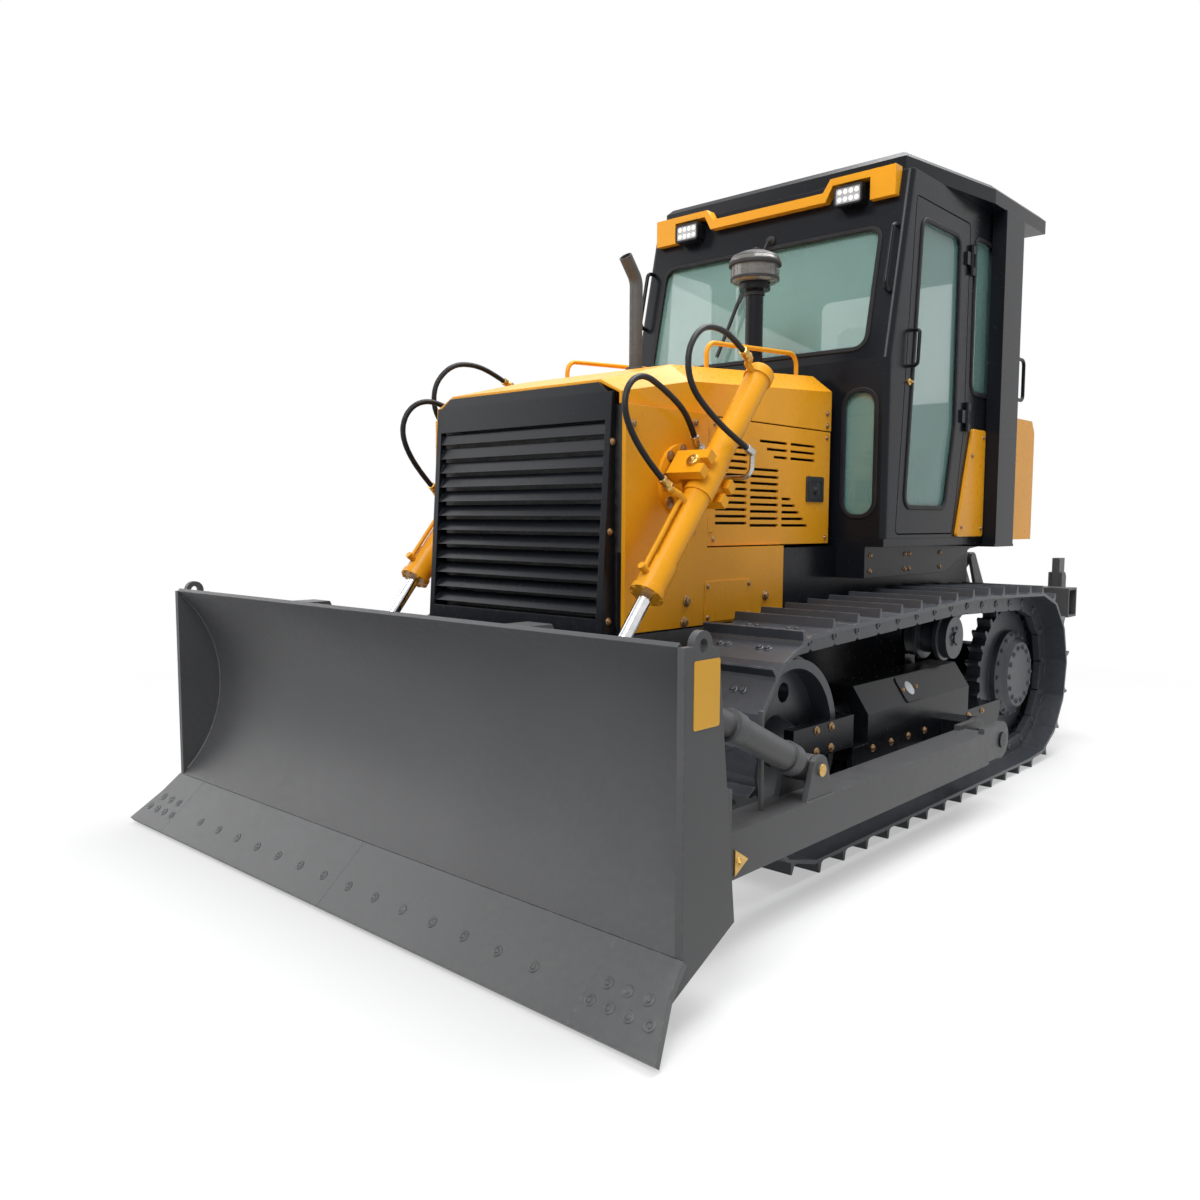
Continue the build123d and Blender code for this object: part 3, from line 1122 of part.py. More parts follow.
def lever(x, y, z, head_x, head_y, head_z):
    """A lever with a boot at its foot and a round knob."""
    head = (head_x, head_y, head_z)
    boot = bar((x, y, z), (x, y, z + 2 * KNOB_RADIUS), KNOB_RADIUS)
    return boot + bar((x, y, z + KNOB_RADIUS), head, LEVER_RADIUS) + Pos(*head) * Sphere(KNOB_RADIUS)


def console():
    """Dashboard with a sloped top, two side boxes and the control levers."""
    y0 = CAB_FRONT_Y + CAB_WALL
    outline = [(y0, CAB_FLOOR_TOP), (DASH_REAR_Y, CAB_FLOOR_TOP), (DASH_REAR_Y, DASH_TOP - 190),
               (DASH_REAR_Y - 60, DASH_TOP - 60), (DASH_REAR_Y - 90, DASH_TOP), (y0, DASH_TOP)]
    shapes = [plate_yz(outline, -DASH_HALF_WIDTH, DASH_HALF_WIDTH)]
    xs, (front, rear), top = SIDE_BOX
    side = [(front, CAB_FLOOR_TOP), (rear, CAB_FLOOR_TOP), (rear, top), (front + 40, top), (front, top - 60)]
    box = plate_yz(side, *xs)
    for x, y, head_x, head_y, head_z in SIDE_LEVERS:
        box += lever(x, y, top - 5, head_x, head_y, head_z)
    shapes += [box, mirrored(box)]
    w = CAB_HALF_WIDTH
    for foot_in, y, head_in, head_y, head_z in FLOOR_LEVERS:
        shapes.append(lever(w - foot_in, y, CAB_FLOOR_TOP, w - head_in, head_y, head_z))
    return shapes


def cab_parts():
    """Floor, walls, roof, glass, posts, seat, controls and what is mounted outside."""
    w, pane_x = CAB_HALF_WIDTH, CAB_HALF_WIDTH - CAB_WALL / 2
    form = cab_form()
    front, panes = front_wall()
    rear, rear_pane = rear_wall()
    quarter = outline_yz(QUARTER_WINDOW, WINDOW_CORNER, pane_x, pane_x + GLASS)
    add("cab_floor", cab_floor())
    add("cab_front_wall", front)
    add("cab_rear_wall", rear)
    add("cab_glass", *panes, rear_pane, quarter, mirrored(quarter))
    add_pair("cab_side_wall", side_wall())
    add_pair("cab_door", cab_door())
    add_pair("cab_door_glass", outline_yz(DOOR_WINDOW, WINDOW_CORNER, pane_x, pane_x + GLASS))
    add("cab_roof", cab_roof())
    add_both("rops_posts", rear_post())
    cover_rear, cover_low = POST_FRONT_Y - 10, CAB_FLOOR_TOP + 5
    cover = [(DOOR_REAR_LOW_Y + 30, cover_low), (DOOR_REAR_Y + 90, DOOR_KINK_Z), (cover_rear, DOOR_KINK_Z),
             (cover_rear, cover_low)]
    add_both("side_covers", outline_yz(cover, 20.0, w, w + COVER_SHEET))
    add("rear_tank", rear_tank())
    add("cab_visor", visor() - form)
    housing, lens = lamp()
    front_bar, rear_bar = grab_bars()
    add_both("cab_fittings", housing - form, front_bar - form, rear_bar)
    add_both("work_lamps", lens)
    seat_parts()
    add("console", *console())


# Blade
def circle_through(a, b, c):
    """Centre and radius of the circle through three (y, z) points."""
    (ay, az), (by, bz), (cy, cz) = a, b, c
    d = 2 * (ay * (bz - cz) + by * (cz - az) + cy * (az - bz))
    sa, sb, sc = ay * ay + az * az, by * by + bz * bz, cy * cy + cz * cz
    uy = (sa * (bz - cz) + sb * (cz - az) + sc * (az - bz)) / d
    uz = (sa * (cy - by) + sb * (ay - cy) + sc * (by - ay)) / d
    return (uy, uz), math.hypot(ay - uy, az - uz)


FACE_POINTS = [(BLADE_TOP_Y, BLADE_TOP_Z), (BLADE_DEEP_Y, BLADE_DEEP_Z), (BLADE_EDGE_Y, BLADE_EDGE_Z)]
FACE_CENTRE, FACE_RADIUS = circle_through(*FACE_POINTS)
EDGE_LENGTH = math.hypot(EDGE_TIP_Y - BLADE_EDGE_Y, EDGE_TIP_Z - BLADE_EDGE_Z)
EDGE_DOWN = ((EDGE_TIP_Y - BLADE_EDGE_Y) / EDGE_LENGTH, (EDGE_TIP_Z - BLADE_EDGE_Z) / EDGE_LENGTH)
EDGE_BACK = (-EDGE_DOWN[1], EDGE_DOWN[0])
EDGE_SEAT = EDGE_THICKNESS + WELD_GAP


def on_edge(down, back):
    """A (y, z) point on the cutting edge: so far down its face and so far behind it."""
    return (BLADE_EDGE_Y + EDGE_DOWN[0] * down + EDGE_BACK[0] * back,
            BLADE_EDGE_Z + EDGE_DOWN[1] * down + EDGE_BACK[1] * back)


def under_top(back, down):
    """A (y, z) point so far behind the blade's top edge and so far under it."""
    return (BLADE_TOP_Y + back, BLADE_TOP_Z - down)


def mouldboard():
    """Curved plate between the end plates."""
    x = END_PLATE - BLADE_HALF_WIDTH
    far = 1 + MOULDBOARD / FACE_RADIUS
    cy, cz = FACE_CENTRE
    a, b, c = [(x, y, z) for y, z in FACE_POINTS]
    d, e, f = [(x, cy + (y - cy) * far, cz + (z - cz) * far) for y, z in FACE_POINTS]
    face = make_face([ThreePointArc(a, b, c), Line(c, f), ThreePointArc(f, e, d), Line(d, a)])
    return extrude(face, amount=-2 * x, dir=(1, 0, 0))


def end_plate():
    """End plate with a lifting eye on its top corner."""
    x0, x1 = BLADE_HALF_WIDTH - END_PLATE, BLADE_HALF_WIDTH
    outline = [(BLADE_TOP_Y, BLADE_TOP_Z), (LUG_Y, BLADE_TOP_Z), under_top(159, 10),
               (BOX_REAR_Y - 15, BOX_BOTTOM + 10),
               on_edge(EDGE_LENGTH - 70, EDGE_SEAT), on_edge(1, EDGE_SEAT), on_edge(0, 1)]
    plate = plate_yz(outline, x0, x1) + cross_bar(LUG_Y, LUG_Z, LUG_RADIUS, x0, x1)
    return plate - cross_bar(LUG_Y, LUG_Z, LUG_HOLE_RADIUS, x0 - 1, x1 + 1)


def rod_ear(x0, x1):
    """One of the two ears on the blade's back for a lift cylinder's rod, with its pin's flush end."""
    y, z = CYLINDER_EYE
    root = BOX_REAR_Y - 10
    outline = [(root, z + 150), (y - 10, z + 56), (y + 40, z + 40), (y + 57, z), (y + 40, z - 40),
               (y - 10, z - 56), (root, z - 130)]
    return plate_yz(outline, x0, x1)


def blade_back():
    """Stiffening box, top rail, ribs, ears, towers and strut heads, welded behind the curved plate."""
    w = BLADE_HALF_WIDTH - END_PLATE
    foot = (BLADE_DEEP_Y - 20, BOX_TOP - 40)
    box = [(BLADE_DEEP_Y - 20, BOX_TOP + 20), (BOX_REAR_Y, BOX_TOP), (BOX_REAR_Y, BOX_BOTTOM),
           on_edge(170, EDGE_SEAT + 30), on_edge(170, EDGE_SEAT), on_edge(1, EDGE_SEAT), on_edge(0, 8),
           (BLADE_EDGE_Y + 65, BLADE_EDGE_Z + 115)]
    shapes = [plate_yz(box, -w, w)]
    shapes.append(plate_yz([under_top(10, 33), under_top(80, 33), under_top(150, 103), under_top(80, 123)],
                           -w, w))
    rib = [under_top(60, 43), under_top(135, 73), (BOX_REAR_Y, BOX_TOP), foot]
    for x in RIB_XS:
        shapes.append(plate_yz(rib, x - RIB / 2, x + RIB / 2))
    tower = [under_top(70, 43), under_top(110, 10), under_top(263, 10), under_top(300, 83),
             (BLADE_TOP_Y + 300, BOX_TOP + 120), (BOX_REAR_Y, BOX_TOP - 40), foot]
    inner = CYLINDER_X - EYE_HALF - SIDE_CLEARANCE
    outer = CYLINDER_X + EYE_HALF + SIDE_CLEARANCE
    half = [plate_yz(tower, CYLINDER_X - 100, CYLINDER_X + 20), rod_ear(inner - EAR, inner),
            rod_ear(outer, outer + EAR),
            block((STRUT_X - 50, STRUT_X + 50), (BLADE_TOP_Y + 70, STRUT_FACE_Y),
                  (STRUT_HEAD_Z - 80, STRUT_HEAD_Z + 80))]
    shapes += half + [mirrored(s) for s in half]
    void = cross_bar(*FACE_CENTRE, FACE_RADIUS + MOULDBOARD + WELD_GAP, -BLADE_HALF_WIDTH, BLADE_HALF_WIDTH)
    return fused(shapes) - void


def edge_plate(corners):
    """A flat edge plate: corners are (x, distance down the edge)."""
    face = make_face(Polyline(*[(x, *on_edge(down, 0)) for x, down in corners], close=True))
    return extrude(face, amount=EDGE_THICKNESS, dir=(0, *EDGE_BACK))


def cutting_edges():
    """Left middle edge and left end bit, which is wider."""
    w, inner, low = BLADE_HALF_WIDTH, EDGE_INNER_X, EDGE_LENGTH
    bit = edge_plate([(inner + 1, 1), (w + 6, 1), (w + 20, 110), (w + END_BIT_REACH, low), (inner + 1, low)])
    return edge_plate([(0.5, 1), (inner, 1), (inner, low), (0.5, low)]), bit


# Bracing strut: stations along it as shares of its length. Columns: from, to, radius
STRUT_STEPS = [(0.0, 1.08, STRUT_RADIUS), (0.12, 0.56, STRUT_SLEEVE), (0.10, 0.16, STRUT_SLEEVE + 8),
               (0.52, 0.58, STRUT_SLEEVE + 8)]


def bracing_strut(x, floor_z):
    """Strut from a pin between two lugs on the push arm up to the blade's strut head."""
    fy, fz = STRUT_FOOT

    def on_strut(share):
        return (x, fy + (STRUT_FACE_Y - fy) * share, fz + (STRUT_HEAD_Z - fz) * share)

    strut = fused([bar(on_strut(a), on_strut(b), r) for a, b, r in STRUT_STEPS])
    wide, deep, tall = STRUT_TRIM
    head = (STRUT_HEAD_Z - tall, STRUT_HEAD_Z + tall)
    strut -= block((x - wide, x + wide), (STRUT_FACE_Y - deep, STRUT_FACE_Y), head)
    reach = STRUT_RADIUS + 6 + STRUT_LUG
    eye = cross_bar(fy, fz, STRUT_SLEEVE, x - STRUT_RADIUS, x + STRUT_RADIUS)
    pin = cross_bar(fy, fz, STRUT_PIN, x - reach - 8, x + reach + 8)
    outline = [(fy - 95, floor_z - 5), (fy - 44, fz + 36), (fy - 20, fz + 52), (fy + 20, fz + 52),
               (fy + 44, fz + 36), (fy + 95, floor_z - 5)]
    lugs = [plate_yz(outline, x - reach, x - reach + STRUT_LUG),
            plate_yz(outline, x + reach - STRUT_LUG, x + reach)]
    return [strut, eye, pin] + lugs


def push_arm():
    """Push arm with a forked eye at the rear and a bracing strut up to the blade."""
    x0, x1 = ARM_INNER_X, ARM_INNER_X + ARM_WIDTH
    z0, z1 = ARM_Z - ARM_HEIGHT / 2, ARM_Z + ARM_HEIGHT / 2
    x = (x0 + x1) / 2
    shapes = [block((x0, x1), (BOX_REAR_Y, ARM_PIVOT_Y - 150), (z0, z1))]
    fork = ((ARM_PIVOT_Y - 220, ARM_PIVOT_Y), (ARM_PIVOT_Z - 85, ARM_PIVOT_Z + 85))
    for a in (x0, x1 - ARM_PLATE):
        shapes.append(block((a, a + ARM_PLATE), *fork))
        shapes.append(cross_bar(ARM_PIVOT_Y, ARM_PIVOT_Z, ARM_EYE_RADIUS, a, a + ARM_PLATE))
    shapes.append(bar((x, LOCK_ROD_Y, z1 - 5), (x, LOCK_ROD_Y - 8, LOCK_ROD_TOP), LOCK_ROD_RADIUS))
    arm = fused(shapes + bracing_strut(x, z1))
    return arm - cross_bar(ARM_PIVOT_Y, ARM_PIVOT_Z, TRUNNION_RADIUS + PIVOT_CLEARANCE, x0 - 1, x1 + 1)


def blade_parts():
    """The blade, its edges and its push arms."""
    add("blade", mouldboard())
    add_both("blade_end_plates", end_plate())
    add("blade_back", blade_back())
    add_both("cutting_edges", *cutting_edges())
    add_both("push_arms", push_arm())


# Lift cylinders. Places are (x, forward, down): forward of the barrel's axis, and down it from the trunnion
LIFT_DY = CYLINDER_EYE[0] - CYLINDER_TRUNNION[0]
LIFT_DZ = CYLINDER_EYE[1] - CYLINDER_TRUNNION[1]
LIFT_LENGTH = math.hypot(LIFT_DY, LIFT_DZ)
LIFT_DOWN = (LIFT_DY / LIFT_LENGTH, LIFT_DZ / LIFT_LENGTH)
LIFT_FORWARD = (LIFT_DOWN[1], -LIFT_DOWN[0])
LIFT_PLANE = Plane(origin=(0, *CYLINDER_TRUNNION), x_dir=(1, 0, 0), z_dir=(0, *LIFT_DOWN))
NOSE_X = HOOD_HALF_WIDTH + HULL_PLATE
YOKE_X = NOSE_X + YOKE_FLANGE_PLATE + YOKE_GAP


def on_lift(down, forward=0.0, x=CYLINDER_X):
    """A point beside the lift cylinder's axis."""
    y, z = CYLINDER_TRUNNION
    return (x, y + LIFT_DOWN[0] * down + LIFT_FORWARD[0] * forward,
            z + LIFT_DOWN[1] * down + LIFT_FORWARD[1] * forward)


def lift_box(xs, forward, down):
    """A box along the lift cylinder's own directions."""
    return LIFT_PLANE * block(xs, forward, down)


# Hydraulic hoses of the left cylinder: route points (x, y, z), from the barrel's end to the nose's
HOSE_RADIUS = 12.5
LOWER_HOSE = [(706, -1499, 1571), (697, -1578, 1636), (686, -1666, 1735), (676, -1705, 1822),
              (667, -1691, 1901), (659, -1635, 1958), (650, -1552, 1976), (641, -1447, 1944),
              (631, -1310, 1883), (619, -1237, 1830), (610, -1190, 1772)]
UPPER_HOSE = [(728, -1007, 2118), (736, -1085, 2156), (744, -1200, 2190), (752, -1335, 2180),
              (762, -1430, 2095), (769, -1450, 2002), (777, -1421, 1922), (785, -1349, 1860),
              (793, -1270, 1807), (802, -1187, 1760), (810, -1108, 1722)]
FITTING = 17.0                # radius of the sleeve on a hose's end
FITTING_LENGTH = 45.0
STEEL_PIPE = 11.0
LOWER_FOOT = (-1128.0, 1728.0)    # where the lower hose's fitting stands on the nose plate
UPPER_FOOT = (-1074.0, 1602.0)    # where the upper hose's steel pipe leaves it


def bend_radii(points):
    """A bend radius for each inner route point: as wide as the shorter of its two runs allows."""
    radii = []
    for a, b, c in zip(points, points[1:], points[2:]):
        u, v = Vector(*b) - Vector(*a), Vector(*c) - Vector(*b)
        half_turn = math.radians(u.get_angle(v)) / 2
        radii.append(0.45 * min(u.length, v.length) / math.tan(half_turn))
    return radii


def hose(points):
    """A hose along its route points."""
    radii = bend_radii(points)
    print("hose bend radii", [round(r) for r in radii])
    return pipe_along(points, radii, HOSE_RADIUS)


def hose_end(tip, before):
    """The inner end of the sleeve that grips a hose's end at tip; before is the next route point."""
    out = Vector(*tip) - Vector(*before)
    end = Vector(*tip) + out.normalized() * FITTING_LENGTH
    return (end.X, end.Y, end.Z)


def yoke():
    """Two forked jaws round the barrel, on a bored plate that turns on the nose's stub pin."""
    x0, x1 = YOKE_X, YOKE_X + YOKE_PLATE
    end = CYLINDER_X + YOKE_JAW_REACH
    half, slot = YOKE_JAW_HALF, YOKE_SLOT
    shapes = [lift_box((x0, x1), (-YOKE_JAW_OUT, YOKE_JAW_OUT), (-half, half)),
              cross_bar(*CYLINDER_TRUNNION, YOKE_BOSS, x0, x1)]
    cuts = []
    for span in ((YOKE_JAW_IN, YOKE_JAW_OUT), (-YOKE_JAW_OUT, -YOKE_JAW_IN)):
        shapes.append(lift_box((x0, end), span, (-half, half)))
        cuts.append(lift_box((CYLINDER_X + TRUNNION_PIN, end + 1), (span[0] - 1, span[1] + 1), (-slot, slot)))
    jaws = fused(shapes)
    for cut in cuts:
        jaws -= cut
    pin = bar(on_lift(0, -YOKE_JAW_OUT - 6), on_lift(0, YOKE_JAW_OUT + 6), TRUNNION_PIN)
    return jaws + pin


# Steps of the lift barrel. Columns: from, to, radius
BARREL_STEPS = [(BARREL_BELOW, -BARREL_ABOVE, BARREL_RADIUS), (90.0, -90.0, BARREL_COLLAR),
                (BARREL_BELOW, BARREL_BELOW - GLAND_HEAD, BARREL_COLLAR),
                (-BARREL_ABOVE + 10, -BARREL_ABOVE + 50, BARREL_COLLAR),
                (BARREL_BELOW, BARREL_BELOW - GLAND_RING, BARREL_COLLAR + 7)]


def lift_barrel():
    """Barrel in its yoke, with a gland head, a cap, ports, a steel line and the ends of its hoses."""
    shapes = [bar(on_lift(a), on_lift(b), r) for a, b, r in BARREL_STEPS]
    for down in (GLAND_PORT, ROD_PORT, CAP_PORT):
        shapes.append(bar(on_lift(down, ROD_RADIUS + 10), on_lift(down, PORT_HEIGHT), PORT_RADIUS))
    shapes.append(bar(on_lift(GLAND_PORT + 8, HARD_LINE_OUT), on_lift(ROD_PORT - 8, HARD_LINE_OUT),
                      HARD_LINE))
    for down, route in ((ROD_PORT, LOWER_HOSE), (CAP_PORT, UPPER_HOSE)):
        end = hose_end(route[0], route[1])
        shapes.append(bar(end, route[0], FITTING))
        shapes.append(bar(on_lift(down, PORT_HEIGHT - 6), end, PORT_RADIUS))
    barrel = fused(shapes + [yoke()])
    barrel -= cross_bar(*CYLINDER_TRUNNION, YOKE_PIN + PIVOT_CLEARANCE, YOKE_X - 1, YOKE_X + YOKE_PLATE + 1)
    return barrel - bar(on_lift(BARREL_BELOW + 1), on_lift(-BORE_ABOVE), ROD_RADIUS + PIVOT_CLEARANCE)


def lift_rod():
    """Rod with an eye and its pin's middle."""
    rod = bar(on_lift(LIFT_LENGTH), on_lift(BARREL_BELOW - ROD_INSIDE), ROD_RADIUS)
    return rod + cross_bar(*CYLINDER_EYE, ROD_EYE_RADIUS, CYLINDER_X - EYE_HALF, CYLINDER_X + EYE_HALF)


def lift_bracket():
    """Round flange on the nose plate with the stub pin that carries a lift cylinder's yoke."""
    y, z = CYLINDER_TRUNNION
    flange = cross_bar(y, z, YOKE_FLANGE, NOSE_X, NOSE_X + YOKE_FLANGE_PLATE)
    flange += cross_bar(y, z, YOKE_BOSS, NOSE_X, YOKE_X - 3)
    return flange + cross_bar(y, z, YOKE_PIN, NOSE_X, YOKE_X + YOKE_PLATE - 6)


def hose_fittings():
    """Ends of both hoses on the nose plate: a straight fitting, and a bent steel pipe with its fitting."""
    end = hose_end(LOWER_HOSE[-1], LOWER_HOSE[-2])
    lower = bar(end, LOWER_HOSE[-1], FITTING) + cross_bar(*LOWER_FOOT, FITTING, NOSE_X, end[0])
    lower += bar((end[0], *LOWER_FOOT), end, PORT_RADIUS)
    end = hose_end(UPPER_HOSE[-1], UPPER_HOSE[-2])
    upper = pipe_along([(NOSE_X, *UPPER_FOOT), (end[0], *UPPER_FOOT), end], 45.0, STEEL_PIPE)
    return lower, upper + bar(end, UPPER_HOSE[-1], FITTING)


def lift_parts():
    """Both lift cylinders, their flanges and their hoses."""
    add_pair("lift_barrel", lift_barrel())
    add_pair("lift_rod", lift_rod())
    add_both("lift_brackets", lift_bracket())
    add_pair("hose_lower", hose(LOWER_HOSE))
    add_pair("hose_upper", hose(UPPER_HOSE))
    add_both("hose_fittings", *hose_fittings())


# Ripper: a parallelogram of two pairs of links, a toolbar and three shanks
RIPPER_A = (LINK_FRONT_Y, LINK_LOW_Z)
RIPPER_B = (LINK_REAR_Y, LINK_LOW_Z + LINK_RISE)
RIPPER_C = (LINK_FRONT_Y, LINK_LOW_Z + LINK_SPACING)
RIPPER_D = (LINK_REAR_Y, LINK_LOW_Z + LINK_RISE + LINK_SPACING)
RIPPER_BASE = (LINK_FRONT_Y + RAM_SHIFT, RAM_BASE_Z)
RIPPER_EYE = (LINK_REAR_Y - RAM_SHIFT, RAM_EYE_Z)
RAM_LENGTH = math.dist(RIPPER_BASE, RIPPER_EYE)
ROUND = 0.72                  # share of an eye's radius at the corners of a lug's head


def lug_pair(x, outline, pin=None):
    """Two lug plates beside x, with a pin between them if one is given."""
    reach = LINK_HALF + LUG_GAP + LUG_PLATE
    shapes = [plate_yz(outline, x - reach, x - reach + LUG_PLATE),
              plate_yz(outline, x + reach - LUG_PLATE, x + reach)]
    if pin:
        shapes.append(cross_bar(*pin, RIPPER_PIN, x - reach, x + reach))
    return shapes


def ear(pin, root_y, sign):
    """Side-view outline of a lug from a wall at root_y to a pin."""
    y, z = pin
    r, c = LINK_EYE, LINK_EYE * ROUND
    return [(root_y, z + r + LUG_ROOT), (y, z + r), (y + sign * c, z + c), (y + sign * r, z),
            (y + sign * c, z - c), (y, z - r), (root_y, z - r - LUG_ROOT)]


def rear_lugs():
    """Lugs on the hull's rear wall for the ripper's links and cylinder."""
    root = HULL_REAR_Y - 5
    shapes = lug_pair(0.0, ear(RIPPER_BASE, root, 1), RIPPER_BASE)
    for x in (-LINK_X, LINK_X):
        for pin in (RIPPER_A, RIPPER_C):
            shapes += lug_pair(x, ear(pin, root, 1), pin)
    return shapes


def link(a, b, x):
    """A flat link with an eye at each pin."""
    dy, dz = b[0] - a[0], b[1] - a[1]
    d = math.hypot(dy, dz)
    ny, nz = -dz / d * LINK_DEPTH / 2, dy / d * LINK_DEPTH / 2
    x0, x1 = x - LINK_HALF, x + LINK_HALF
    outline = [(a[0] + ny, a[1] + nz), (b[0] + ny, b[1] + nz), (b[0] - ny, b[1] - nz), (a[0] - ny, a[1] - nz)]
    plate = fused([plate_yz(outline, x0, x1), cross_bar(*a, LINK_EYE, x0, x1),
                   cross_bar(*b, LINK_EYE, x0, x1)])
    for pin in (a, b):
        plate -= cross_bar(*pin, RIPPER_PIN + PIVOT_CLEARANCE, x0 - 1, x1 + 1)
    return plate


def on_ram(distance):
    """A point on the ripper cylinder's axis, from its pin on the hull towards the toolbar."""
    f = distance / RAM_LENGTH
    return (0.0, *[p + (q - p) * f for p, q in zip(RIPPER_BASE, RIPPER_EYE)])


BEAM_YS = (BEAM_Y - BEAM_SIZE / 2, BEAM_Y + BEAM_SIZE / 2)
BEAM_ZS = (BEAM_Z - BEAM_HALF_HEIGHT, BEAM_Z + BEAM_HALF_HEIGHT)
SHANK_XS = (-SHANK_X, 0.0, SHANK_X)
HOLDER_PINS = [(BEAM_YS[1] + 45.0, BEAM_Z - 60.0), (BEAM_YS[1] + 45.0, BEAM_Z + 60.0)]


def ripper_beam():
    """Toolbar with open ends, lugs for the links, towers for the upper pair and three shank holders."""
    y0, y1 = BEAM_YS
    z0, z1 = BEAM_ZS
    w, t = BEAM_HALF_WIDTH, BEAM_WALL
    beam = block((-w, w), BEAM_YS, BEAM_ZS)
    for xs in ((-w - 1, BEAM_POCKET - w), (w - BEAM_POCKET, w + 1)):
        beam -= block(xs, (y0 + t, y1 - t), (z0 + t, z1 - t))
    y, z = RIPPER_D
    r, c = LINK_EYE, LINK_EYE * ROUND
    tower = [(y0 + 5, z1 - 20), (y - r, z), (y - c, z + c), (y, z + r), (y + c, z + c), (y1 - 10, z1 - 20)]
    shapes = [beam] + lug_pair(0.0, ear(RIPPER_EYE, y0 + 5, -1))
    for x in (-LINK_X, LINK_X):
        shapes += lug_pair(x, ear(RIPPER_B, y0 + 5, -1), RIPPER_B)
        shapes += lug_pair(x, tower, RIPPER_D)
    high = HOLDER_HALF_HEIGHT
    holder = [(y1 - 5, BEAM_Z - high), (y1 + 60, BEAM_Z - high), (y1 + 80, BEAM_Z - high + 30),
              (y1 + 80, BEAM_Z + high - 30), (y1 + 60, BEAM_Z + high), (y1 - 5, BEAM_Z + high)]
    reach = SHANK_HALF + 2 + HOLDER_PLATE
    for x in SHANK_XS:
        shapes.append(plate_yz(holder, x - reach, x - reach + HOLDER_PLATE))
        shapes.append(plate_yz(holder, x + reach - HOLDER_PLATE, x + reach))
        for pin in HOLDER_PINS:
            shapes.append(cross_bar(*pin, HOLDER_PIN, x - reach - 10, x + reach + 10))
    return fused(shapes)


def shank(x):
    """A shank with a forward-curved point and holes for its pins."""
    y0, y1 = BEAM_YS[1] + WELD_GAP, REAR_END_Y
    tip = SHANK_TIP
    outline = [(y0, SHANK_TOP), (y1, SHANK_TOP), (y1, tip + 180), (y1 - 60, tip + 90), (y1 - 190, tip),
               (y1 - 215, tip + 10), (y0 - 20, tip + 140), (y0, tip + 190)]
    plate = plate_yz(outline, x - SHANK_HALF, x + SHANK_HALF)
    for pin in HOLDER_PINS:
        plate -= cross_bar(*pin, HOLDER_PIN + PIVOT_CLEARANCE, x - SHANK_HALF - 1, x + SHANK_HALF + 1)
    return plate


def ripper_parts():
    """Links, toolbar, shanks and the ripper's cylinder."""
    add("ripper_lower_links", *[link(RIPPER_A, RIPPER_B, x) for x in (-LINK_X, LINK_X)])
    add("ripper_upper_links", *[link(RIPPER_C, RIPPER_D, x) for x in (-LINK_X, LINK_X)])
    add("ripper_beam", ripper_beam())
    add("ripper_shanks", *[shank(x) for x in SHANK_XS])
    barrel = bar(on_ram(RAM_NECK), on_ram(RAM_BODY), RAM_BARREL)
    barrel += bar(on_ram(0), on_ram(RAM_NECK + 5), LINK_HALF - 2)
    barrel += cross_bar(*RIPPER_BASE, LINK_EYE, -LINK_HALF, LINK_HALF)
    barrel -= bar(on_ram(RAM_NECK + 10), on_ram(RAM_BODY + 1), RAM_ROD + PIVOT_CLEARANCE)
    barrel -= cross_bar(*RIPPER_BASE, RIPPER_PIN + PIVOT_CLEARANCE, -LINK_HALF - 1, LINK_HALF + 1)
    add("ripper_barrel", barrel)
    rod = bar(on_ram(RAM_NECK + 15), on_ram(RAM_LENGTH), RAM_ROD)
    add("ripper_rod", rod + cross_bar(*RIPPER_EYE, LINK_EYE, -LINK_HALF, LINK_HALF))


running_gear()
hull_parts()
nose_parts()
cab_parts()
blade_parts()
lift_parts()
ripper_parts()


os.makedirs("parts", exist_ok=True)
for node, shape in NODES.items():
    export_step(shape, f"parts/{node}.step")
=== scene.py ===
"""Looks of the crawler bulldozer: camera, hoses, seat, small fittings, materials and light."""
import json
import math

import bmesh
import bpy
from mathutils import Matrix, Vector


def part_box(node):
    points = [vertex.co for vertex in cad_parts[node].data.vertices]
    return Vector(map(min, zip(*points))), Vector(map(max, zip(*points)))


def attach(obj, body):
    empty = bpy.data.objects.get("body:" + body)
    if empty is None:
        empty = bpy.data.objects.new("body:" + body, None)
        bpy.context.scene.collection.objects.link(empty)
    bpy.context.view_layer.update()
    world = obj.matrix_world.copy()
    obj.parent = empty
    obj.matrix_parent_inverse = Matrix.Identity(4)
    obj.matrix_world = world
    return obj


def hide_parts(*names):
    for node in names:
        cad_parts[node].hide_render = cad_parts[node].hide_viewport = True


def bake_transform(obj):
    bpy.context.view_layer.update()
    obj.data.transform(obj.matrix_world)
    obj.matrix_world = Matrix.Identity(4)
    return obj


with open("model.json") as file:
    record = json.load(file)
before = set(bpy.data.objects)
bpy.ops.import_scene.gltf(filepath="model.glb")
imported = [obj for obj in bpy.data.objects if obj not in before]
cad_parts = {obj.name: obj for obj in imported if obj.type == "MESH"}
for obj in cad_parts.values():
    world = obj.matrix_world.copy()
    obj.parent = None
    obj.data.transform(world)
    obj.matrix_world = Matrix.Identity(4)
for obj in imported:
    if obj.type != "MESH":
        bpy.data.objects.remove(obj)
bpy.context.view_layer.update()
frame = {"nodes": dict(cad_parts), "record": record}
scene = bpy.context.scene
SIDES = (("left", 1.0), ("right", -1.0))
LEFT, UP, FORWARD, BACK = Vector((1, 0, 0)), Vector((0, 0, 1)), Vector((0, -1, 0)), Vector((0, 1, 0))

